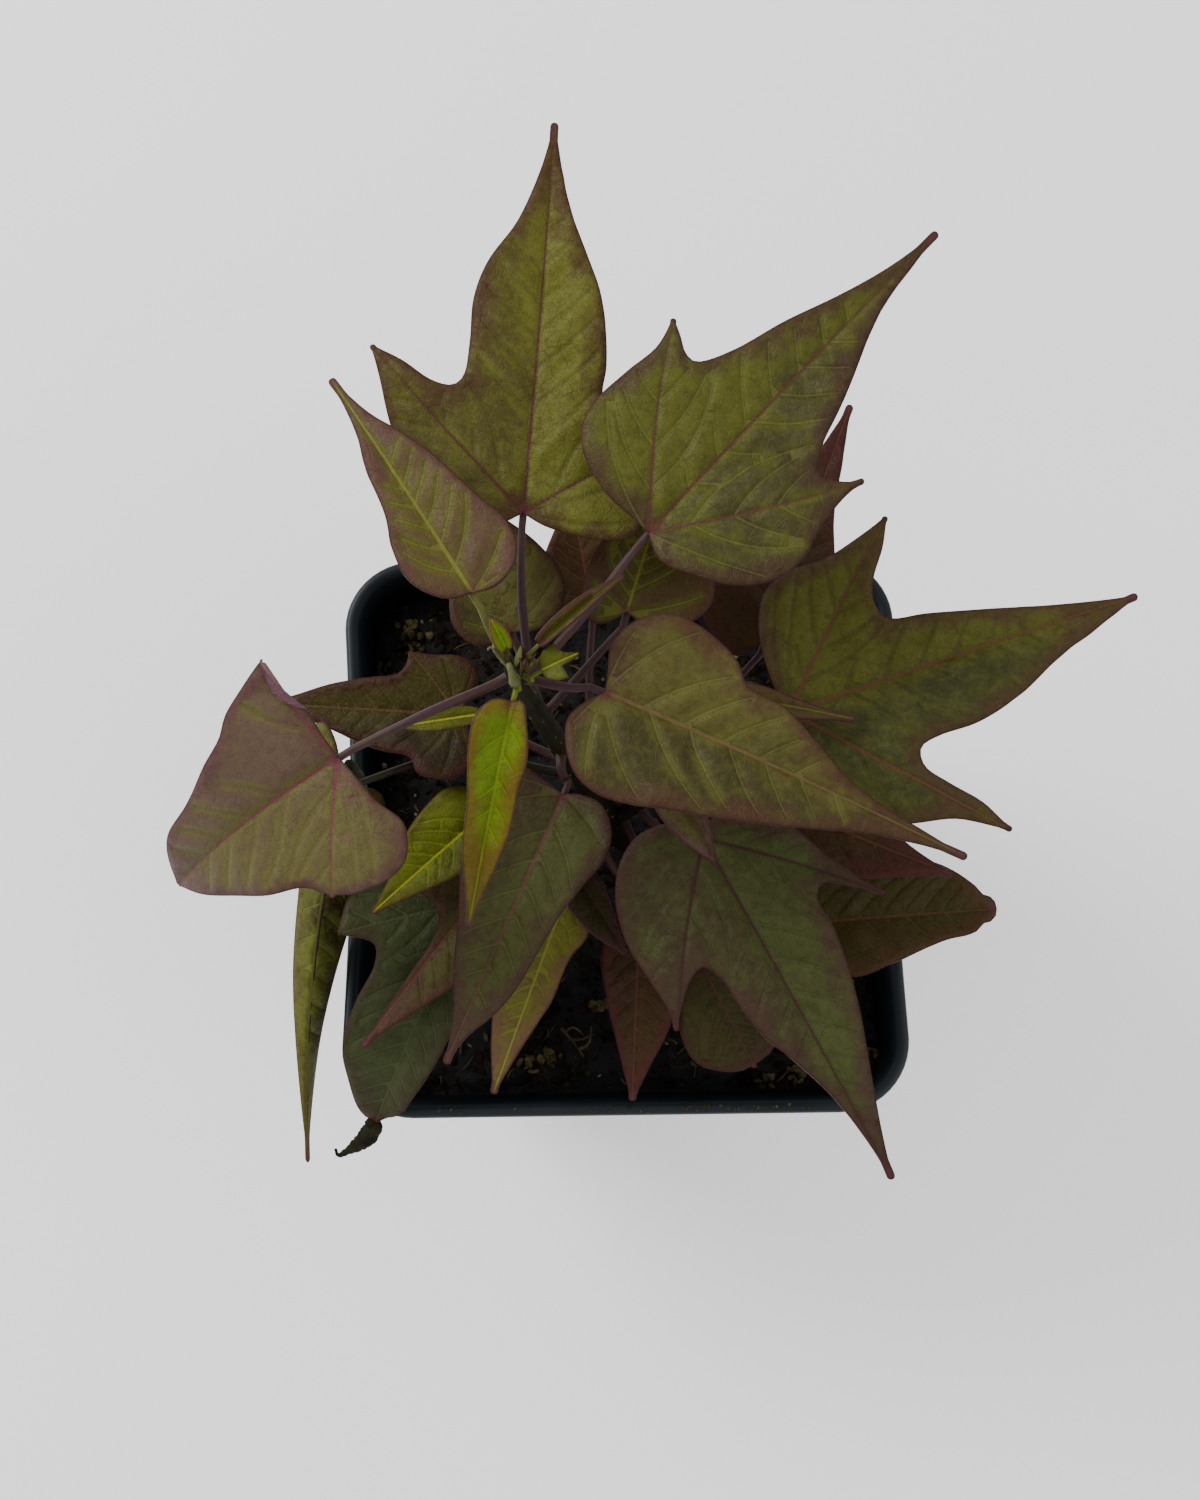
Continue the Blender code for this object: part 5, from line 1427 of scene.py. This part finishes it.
def crumb_mesh(name, crumbs, material, seed):
    """Many small uneven bits in one mesh. Each crumb is (place, half sizes)."""
    rng = random.Random(seed)
    base = bmesh.new()
    bmesh.ops.create_icosphere(base, subdivisions=1, radius=1.0)
    corners = [v.co.copy() for v in base.verts]
    triangles = [tuple(v.index for v in f.verts) for f in base.faces]
    base.free()
    points = []
    faces = []
    for place, sizes in crumbs:
        turn = Matrix.Rotation(rng.uniform(0, 6.3), 3, "Z") @ Matrix.Rotation(
            rng.gauss(0, 0.35), 3, "X") @ Matrix.Rotation(rng.gauss(0, 0.35), 3, "Y")
        faces += [tuple(len(points) + i for i in t) for t in triangles]
        for corner in corners:
            reach = rng.uniform(0.72, 1.15)
            shaped = Vector((corner.x * sizes[0], corner.y * sizes[1], corner.z * sizes[2]))
            points.append(turn @ (shaped * reach) + place)
    mesh = mesh_of(name, points, faces, None, (material,))
    mesh.polygons.foreach_set("use_smooth", [False] * len(mesh.polygons))
    return mesh


def scattered(rng, count, low, high):
    """Crumbs anywhere on the soil, with half sizes between the low and the high ones."""
    crumbs = []
    for _ in range(count):
        x = rng.uniform(-BITS_REACH, BITS_REACH)
        y = rng.uniform(-BITS_REACH, BITS_REACH)
        sizes = [rng.uniform(a, b) for a, b in zip(low, high)]
        crumbs.append((Vector((x, y, height_at(x, y) + sizes[2] * 0.35)), sizes))
    return crumbs


def heaped(rng, centre, count, spread, lift, sizes, reach=math.inf):
    """Crumbs heaped round one place on the soil."""
    crumbs = []
    for _ in range(count):
        x = rng.gauss(centre[0], spread[0])
        y = rng.gauss(centre[1], spread[1])
        x = max(-reach, min(reach, x))
        spot = Vector((x, y, height_at(x, y) + rng.uniform(*lift)))
        crumbs.append((spot, [rng.uniform(*sizes) for _ in range(3)]))
    return crumbs


def fibre_mesh(name, count, material, seed):
    """Thin bent root and bark fibres lying on the soil, in one mesh."""
    rng = random.Random(seed)
    points = []
    faces = []
    for _ in range(count):
        x = rng.uniform(-BITS_REACH, BITS_REACH)
        y = rng.uniform(-BITS_REACH, BITS_REACH)
        heading = rng.uniform(0, 2 * math.pi)
        length = rng.uniform(1.5, 6.0)
        width = rng.uniform(0.08, 0.24)
        rise = rng.uniform(0.0, 0.9)
        bend = rng.gauss(0.0, 0.09)
        faces += ring_faces(4, FIBRE_PARTS, len(points))
        for part in range(FIBRE_PARTS):
            share = part / (FIBRE_PARTS - 1)
            middle = Vector((x, y, height_at(x, y) + 0.15 + rise * math.sin(math.pi * share)))
            side = Vector((-math.sin(heading), math.cos(heading), 0)) * width
            up = Vector((0, 0, width))
            points += [middle + side, middle + up, middle - side, middle - up]
            x += math.cos(heading) * length / FIBRE_PARTS
            y += math.sin(heading) * length / FIBRE_PARTS
            x = max(-BITS_REACH, min(BITS_REACH, x))
            y = max(-BITS_REACH, min(BITS_REACH, y))
            heading += bend
    return mesh_of(name, points, faces, None, (material,))


# Settings


class VinePotSettings(bpy.types.PropertyGroup):
    """Colours and sizes of the pot."""

    plastic: bpy.props.FloatVectorProperty(
        name="Plastic", description="Colour of the pot's plastic", subtype="COLOR", size=4,
        min=0.0, max=1.0, default=linear((12, 20, 24)))
    streaks: bpy.props.FloatVectorProperty(
        name="Streaks", description="Colour of the flow lines in the plastic",
        subtype="COLOR", size=4, min=0.0, max=1.0, default=linear((18, 32, 38)))
    # Rim is the colour of a painted highlight along the top of the rim, where it catches the
    # light
    rim: bpy.props.FloatVectorProperty(
        name="Rim", description="Colour of the rubbed plastic at the rim", subtype="COLOR",
        size=4, min=0.0, max=1.0, default=linear((42, 54, 60)))


class VineSoilSettings(bpy.types.PropertyGroup):
    """What lies on the soil."""

    chips: bpy.props.IntProperty(
        name="Chips", description="Number of dark crumbs and bark chips", default=1500,
        min=0)
    fibres: bpy.props.IntProperty(
        name="Fibres", description="Number of pale fibres", default=120, min=0)
    grains: bpy.props.IntProperty(
        name="Grains", description="Number of white mineral grains", default=110, min=0)


class VineLeafSettings(bpy.types.PropertyGroup):
    """Look and relief shared by the leaves."""

    thickness: bpy.props.FloatProperty(
        name="Thickness", description="Thickness of a blade", default=0.00035,
        min=0.0001, unit="LENGTH")
    relief: bpy.props.FloatProperty(
        name="Relief", description="How far the skin swells between veins, in millimetres",
        default=0.3, min=0.0)
    halo: bpy.props.FloatProperty(
        name="Halo", description="How strongly the green follows the veins", default=0.6,
        min=0.0, max=1.0)
    vein: bpy.props.FloatProperty(
        name="Veins", description="How clearly the side veins show", default=0.45,
        min=0.0, max=1.0)
    gloss: bpy.props.FloatProperty(
        name="Gloss", description="Specular level of the upper skin", default=0.2,
        min=0.0, max=1.0)
    rim: bpy.props.FloatVectorProperty(
        name="Rim", description="Colour of the thin line round each leaf", subtype="COLOR",
        size=4, min=0.0, max=1.0, default=linear((74, 40, 44)))
    fingertip: bpy.props.FloatVectorProperty(
        name="Fingertip", description="Colour of the blunt end of each leaf",
        subtype="COLOR", size=4, min=0.0, max=1.0, default=linear((96, 56, 60)))
    joint: bpy.props.FloatVectorProperty(
        name="Joint", description="Colour where the veins meet", subtype="COLOR", size=4,
        min=0.0, max=1.0, default=linear((92, 46, 50)))


class VineStageSettings(bpy.types.PropertyGroup):
    """Light and floor."""

    key: bpy.props.FloatProperty(
        name="Key light", description="Power of the large light", default=8.0, min=0.0,
        unit="POWER")
    sky: bpy.props.FloatProperty(
        name="Sky", description="Strength of the even light", default=0.7, min=0.0)
    glow: bpy.props.FloatProperty(
        name="Glow", description="How far the paper floor is lit from below", default=0.5,
        min=0.0)
    floor_colour: bpy.props.FloatVectorProperty(
        name="Floor", description="Colour of the floor", subtype="COLOR", size=4,
        min=0.0, max=1.0, default=(0.95, 0.95, 0.95, 1.0))


# Operators


class VINE_OT_pot(bpy.types.Operator):
    """Build the square nursery pot"""

    bl_idname = "vine.pot"
    bl_label = "Pot"

    def execute(self, context):
        rings = [wall_ring(*row) for row in POT_PROFILE]
        mesh = lofted("nursery_pot", rings, pot_material(context.scene.vine_pot))
        pot = place_piece(mesh, "pot")
        holes = put("drain_holes", self.drain_holes())
        modifier = pot.modifiers.new("drain", "BOOLEAN")
        modifier.operation = "DIFFERENCE"
        modifier.solver = "EXACT"
        modifier.object = holes
        context.view_layer.update()
        graph = context.evaluated_depsgraph_get()
        shaped = bpy.data.meshes.new_from_object(pot.evaluated_get(graph))
        pot.modifiers.clear()
        pot.data = shaped
        bpy.data.objects.remove(holes, do_unlink=True)
        return {"FINISHED"}

    def drain_holes(self):
        """Four upright cylinders through the floor, one near each corner."""
        holes = bmesh.new()
        for sign_x in (-1, 1):
            for sign_y in (-1, 1):
                spot = Matrix.Translation((sign_x * DRAIN_PLACE * MM,
                                           sign_y * DRAIN_PLACE * MM, FLOOR / 2 * MM))
                bmesh.ops.create_cone(holes, cap_ends=True, segments=DRAIN_SIDES,
                                      radius1=DRAIN_RADIUS * MM, radius2=DRAIN_RADIUS * MM,
                                      depth=3 * FLOOR * MM, matrix=spot)
        mesh = bpy.data.meshes.new("drain_holes")
        holes.to_mesh(mesh)
        holes.free()
        return mesh


class VINE_OT_soil(bpy.types.Operator):
    """Build the soil with its crumbs, fibres and grains"""

    bl_idname = "vine.soil"
    bl_label = "Soil"

    def execute(self, context):
        peat = soil_material((28, 24, 16))
        place_piece(self.surface(peat), "soil")
        rings = [wall_ring(*row) for row in SOIL_PROFILE]
        place_piece(lofted("soil_body", rings, peat))
        for mesh in self.bits(context.scene.vine_soil):
            place_piece(mesh)
        return {"FINISHED"}

    def surface(self, material):
        """Uneven top of the soil, lower along the wall and raised round the stem's foot."""
        rng = np.random.default_rng(12)
        edge = wall_ring(SOIL_TOP - 1.5, WALL + SOIL_MARGIN)
        loop = np.array([(p.x, p.y) for p in edge])
        flat, faces = triangles_in(loop, [], SOIL_GRID, rng)
        height = soil_height(flat[:, 0], flat[:, 1])
        border = edge_distance(flat, loop)
        height -= WALL_DROP * np.exp(-(border / WALL_DROP_REACH) ** 2)
        height += rng.uniform(-SOIL_ROUGHNESS, SOIL_ROUGHNESS, len(flat))
        foot = np.hypot(flat[:, 0], flat[:, 1])
        height += FOOT_RAISE * np.exp(-((foot - FOOT_RING) / 2.0) ** 2)
        surface = np.stack([flat[:, 0], flat[:, 1], height], 1)
        return mesh_of("soil_surface", surface, faces, None, (material,))

    def bits(self, settings):
        """Chips, grains, moss, fibres, twigs and rim crumbs, each kind in one mesh."""
        dark = bits_material("soil_bark", (46, 34, 24), (26, 19, 14), 0.84)
        tan = bits_material("soil_fibre", (98, 90, 62), (60, 54, 38), 0.8)
        pale = bits_material("soil_perlite", (150, 144, 118), (104, 96, 70), 0.82)
        moss = bits_material("soil_moss", (60, 58, 32), (40, 38, 22), 0.85)
        draw = random.Random(5)
        chips = scattered(draw, settings.chips, (0.3, 0.25, 0.2), (1.3, 0.9, 0.6))
        chips += scattered(draw, settings.chips // 12, (1.2, 0.7, 0.4), (2.8, 1.6, 0.9))
        tan_chips = scattered(draw, TAN_CHIPS, (0.3, 0.2, 0.15), (1.2, 0.5, 0.35))
        for centre in TAN_LUMPS:
            tan_chips += heaped(draw, centre, 9, (0.9, 0.9), (0.2, 0.8), (0.4, 1.1))
        grains = scattered(draw, settings.grains, (0.25, 0.25, 0.2), (0.7, 0.6, 0.5))
        moss_bits = scattered(draw, MOSS_BITS, (0.3, 0.3, 0.2), (1.2, 0.8, 0.5))
        for centre in MOSS_HEAPS:
            moss_bits += heaped(draw, centre, 26, (1.2, 1.5), (0.0, 1.2), (0.3, 0.9),
                                BITS_REACH)
        return [crumb_mesh("soil_chips", chips, dark, 31),
                crumb_mesh("soil_tan_chips", tan_chips, tan, 33),
                crumb_mesh("soil_grains", grains, pale, 34),
                crumb_mesh("soil_moss_bits", moss_bits, moss, 35),
                fibre_mesh("soil_fibres", settings.fibres, tan, 36),
                self.twigs(tan),
                crumb_mesh("rim_crumbs", self.rim_crumbs(draw), tan, 37)]

    def twigs(self, material):
        """Two forked pale twigs lying at the front."""
        joined = bmesh.new()
        for number, path in enumerate(TWIGS):
            line = smooth_path(path, 5)
            widths = np.linspace(0.34, 0.12, len(line))
            joined.from_mesh(tube_mesh("twig", line, widths, 8, (), uneven=0.1,
                                       seed=number))
        mesh = bpy.data.meshes.new("soil_twigs")
        joined.to_mesh(mesh)
        joined.free()
        mesh.materials.append(material)
        return mesh

    def rim_crumbs(self, draw):
        """Crumbs spilt on the rim, most of them along the front."""
        crumbs = []
        half_y = RIM_DEPTH / 2 - LIP_STEP / 2 - 0.3
        half_x = RIM_WIDTH / 2 - LIP_STEP / 2 - 1.2
        for _ in range(RIM_CRUMBS_FRONT):
            x = draw.choice((draw.uniform(-6, 34), draw.uniform(-36, 38)))
            sizes = [draw.uniform(0.12, 0.42) for _ in range(3)]
            y = -half_y + draw.uniform(-0.35, 0.5)
            crumbs.append((Vector((x, y, POT_HEIGHT + sizes[2] * 0.4)), sizes))
        for _ in range(RIM_CRUMBS_SIDES):
            y = draw.uniform(-34, 34)
            sizes = [draw.uniform(0.1, 0.3) for _ in range(3)]
            x = draw.choice((-1, 1)) * half_x
            crumbs.append((Vector((x, y, POT_HEIGHT + sizes[2] * 0.4)), sizes))
        return crumbs


class VINE_OT_stem(bpy.types.Operator):
    """Build the branched stem and the buds at its growing tip"""

    bl_idname = "vine.stem"
    bl_label = "Stem"

    def execute(self, context):
        material = stem_material((42, 34, 26), (44, 44, 26))
        for stem in STEMS:
            path = stem_line(stem, STEM_STEPS)
            if stem == "main":
                path = [Vector((0, 0, STEM_FOOT))] + path
            mesh = tube_mesh("stem_" + stem, path, self.radii(stem, len(path)), STEM_SIDES,
                             (material,), uneven=0.015, seed=len(stem))
            place_piece(mesh, "vine_stem" if stem == "main" else None)
        self.growing_tip()
        return {"FINISHED"}

    def radii(self, stem, count):
        """Radii of a stem, which swells where a leaf's stalk leaves it."""
        joints = [leaf["stalk"][1] for leaf in LEAVES.values() if leaf["stalk"][0] == stem]
        thick, thin = STEMS[stem]["radius"]
        radii = []
        for i in range(count):
            share = i / (count - 1)
            swell = max(math.exp(-((share - joint) / JOINT_LENGTH) ** 2)
                        for joint in joints)
            radii.append(thick + (thin - thick) * share + JOINT_SWELL * swell)
        return radii

    def growing_tip(self):
        """Pale young shoot above the last leaves, with buds and dry papery scales."""
        young = stalk_material("shoot_skin", (104, 106, 62), (124, 124, 88))
        dry = bits_material("scale_skin", (88, 74, 44), (62, 46, 30), 0.7)
        for name, (path, radii, flat, is_dry) in TIP_PIECES.items():
            line = smooth_path(path, CURVE_STEPS)
            mesh = tube_mesh("tip_" + name, line, widths_along(line, radii), TIP_SIDES,
                             (dry if is_dry else young,), uneven=0.12, seed=len(name),
                             flat=flat)
            place_piece(mesh)


class VINE_OT_leaves(bpy.types.Operator):
    """Build every leaf: blade, stalk and veins"""

    bl_idname = "vine.leaves"
    bl_label = "Leaves"

    def execute(self, context):
        look = context.scene.vine_leaf
        undersides = {
            "mauve": underside_material("underside_mauve", (112, 72, 84), (136, 98, 104)),
            "green": underside_material("underside_green", (104, 116, 58), (146, 152, 92)),
        }
        stalks = {tone: stalk_material("stalk_" + tone, *colours)
                  for tone, colours in STALK_COLOURS.items()}
        dry = {end: bits_material(*data["skin"]) for end, data in DRY_ENDS.items()}
        for name, own in LEAVES.items():
            leaf = {**LEAF_DEFAULTS, **own, "skin": name + "_skin"}
            under = undersides["green" if leaf["tone"] in GREEN_BACKED else "mauve"]
            self.blade(name, leaf, look, under)
            path, radii = stalk_line(leaf)
            stalk = tube_mesh(name + "_stalk", path, radii, STALK_SIDES,
                              (stalks[leaf["stalk_tone"]],))
            place_piece(stalk)
            for end, data in DRY_ENDS.items():
                if leaf[end]:
                    line = smooth_path(leaf[end], CURVE_STEPS)
                    mesh = tube_mesh(name + "_" + end, line, widths_along(line, data["radii"]),
                                     data["sides"], (dry[end],), **data["form"])
                    place_piece(mesh)
        return {"FINISHED"}

    def blade(self, name, leaf, look, under):
        """One blade, with a thickness that keeps its lower skin's own material."""
        skins = (blade_material(leaf, look), under)
        blade = place_piece(blade_mesh(name + "_blade", leaf, look.relief, skins), name)
        thicken = blade.modifiers.new("thickness", "SOLIDIFY")
        thicken.thickness = look.thickness
        thicken.offset = -1.0
        thicken.material_offset = 1


class VINE_OT_stage(bpy.types.Operator):
    """Set out the floor, the soft light and the camera"""

    bl_idname = "vine.stage"
    bl_label = "Stage"

    def execute(self, context):
        stage = context.scene.vine_stage
        self.place_floor(context, stage)
        world = bpy.data.worlds.new("studio")
        context.scene.world = world
        world.use_nodes = True
        background = world.node_tree.nodes["Background"]
        background.inputs["Color"].default_value = (1.0, 1.0, 1.0, 1.0)
        background.inputs["Strength"].default_value = stage.sky
        for name, (spot, size, share) in LAMPS.items():
            data = bpy.data.lights.new(name, "AREA")
            data.energy = stage.key * share
            data.size = size
            lamp = put(name, data)
            lamp.location = spot
            lamp.rotation_euler = (Vector((0, 0, 0.1)) - Vector(spot)).to_track_quat(
                "-Z", "Y").to_euler()
        self.place_camera(context)
        return {"FINISHED"}

    def place_floor(self, context, stage):
        """A wide sheet of white paper that glows a little."""
        shader = Shader("floor_paper")
        grain = shader.noise(shader.place(), 300.0)
        paper = shader.finish(Base_Color=tuple(stage.floor_colour), Roughness=0.8 + grain * 0.1,
                              Emission_Color=(1.0, 1.0, 1.0, 1.0),
                              Emission_Strength=stage.glow)
        bpy.ops.mesh.primitive_plane_add(size=12.0, location=(0, 0, 0))
        floor = context.object
        floor.name = "floor"
        floor.data.materials.append(paper)

    def place_camera(self, context):
        """The photograph's camera, almost straight above the pot."""
        tilt = math.radians(CAMERA_TILT)
        roll = math.radians(CAMERA_ROLL)
        forward = Vector((0, math.sin(tilt), -math.cos(tilt)))
        right = Vector((1, 0, 0))
        up = Vector((0, math.cos(tilt), math.sin(tilt)))
        right, up = (right * math.cos(roll) + up * math.sin(roll),
                     up * math.cos(roll) - right * math.sin(roll))
        data = bpy.data.cameras.new("camera")
        data.sensor_width = SENSOR
        data.lens = SENSOR * FOCAL_PIXELS / IMAGE_LONG_SIDE
        data.clip_start = 0.01
        data.clip_end = 20.0
        camera = put("camera", data)
        spot = (Vector(CAMERA_TARGET) - forward * CAMERA_DISTANCE) * MM
        camera.matrix_world = Matrix((
            (right.x, up.x, -forward.x, spot.x), (right.y, up.y, -forward.y, spot.y),
            (right.z, up.z, -forward.z, spot.z), (0, 0, 0, 1)))
        context.scene.camera = camera


class VINE_PT_panel(bpy.types.Panel):
    """Lists the vine's parts and their settings"""

    bl_idname = "VINE_PT_panel"
    bl_label = "Sweet potato vine"
    bl_space_type = "VIEW_3D"
    bl_region_type = "UI"
    bl_category = "Vine"

    def draw(self, context):
        scene = context.scene
        for settings, operator in ((scene.vine_pot, "vine.pot"),
                                   (scene.vine_soil, "vine.soil"),
                                   (None, "vine.stem"),
                                   (scene.vine_leaf, "vine.leaves"),
                                   (scene.vine_stage, "vine.stage")):
            box = self.layout.box()
            box.operator(operator)
            if settings:
                for key in settings.__annotations__:
                    box.prop(settings, key)


CLASSES = (VinePotSettings, VineSoilSettings, VineLeafSettings, VineStageSettings,
           VINE_OT_pot, VINE_OT_soil, VINE_OT_stem, VINE_OT_leaves, VINE_OT_stage,
           VINE_PT_panel)
GROUPS = {"vine_pot": VinePotSettings, "vine_soil": VineSoilSettings,
          "vine_leaf": VineLeafSettings, "vine_stage": VineStageSettings}


def register():
    for item in CLASSES:
        bpy.utils.register_class(item)
    for key, group in GROUPS.items():
        setattr(bpy.types.Scene, key, bpy.props.PointerProperty(type=group))


def unregister():
    for key in GROUPS:
        delattr(bpy.types.Scene, key)
    for item in reversed(CLASSES):
        bpy.utils.unregister_class(item)


def main():
    register()
    for step in (bpy.ops.vine.stage, bpy.ops.vine.pot, bpy.ops.vine.soil,
                 bpy.ops.vine.stem, bpy.ops.vine.leaves):
        if step() != {"FINISHED"}:
            raise RuntimeError("a part of the vine was not built")


if __name__ == "__main__":
    main()
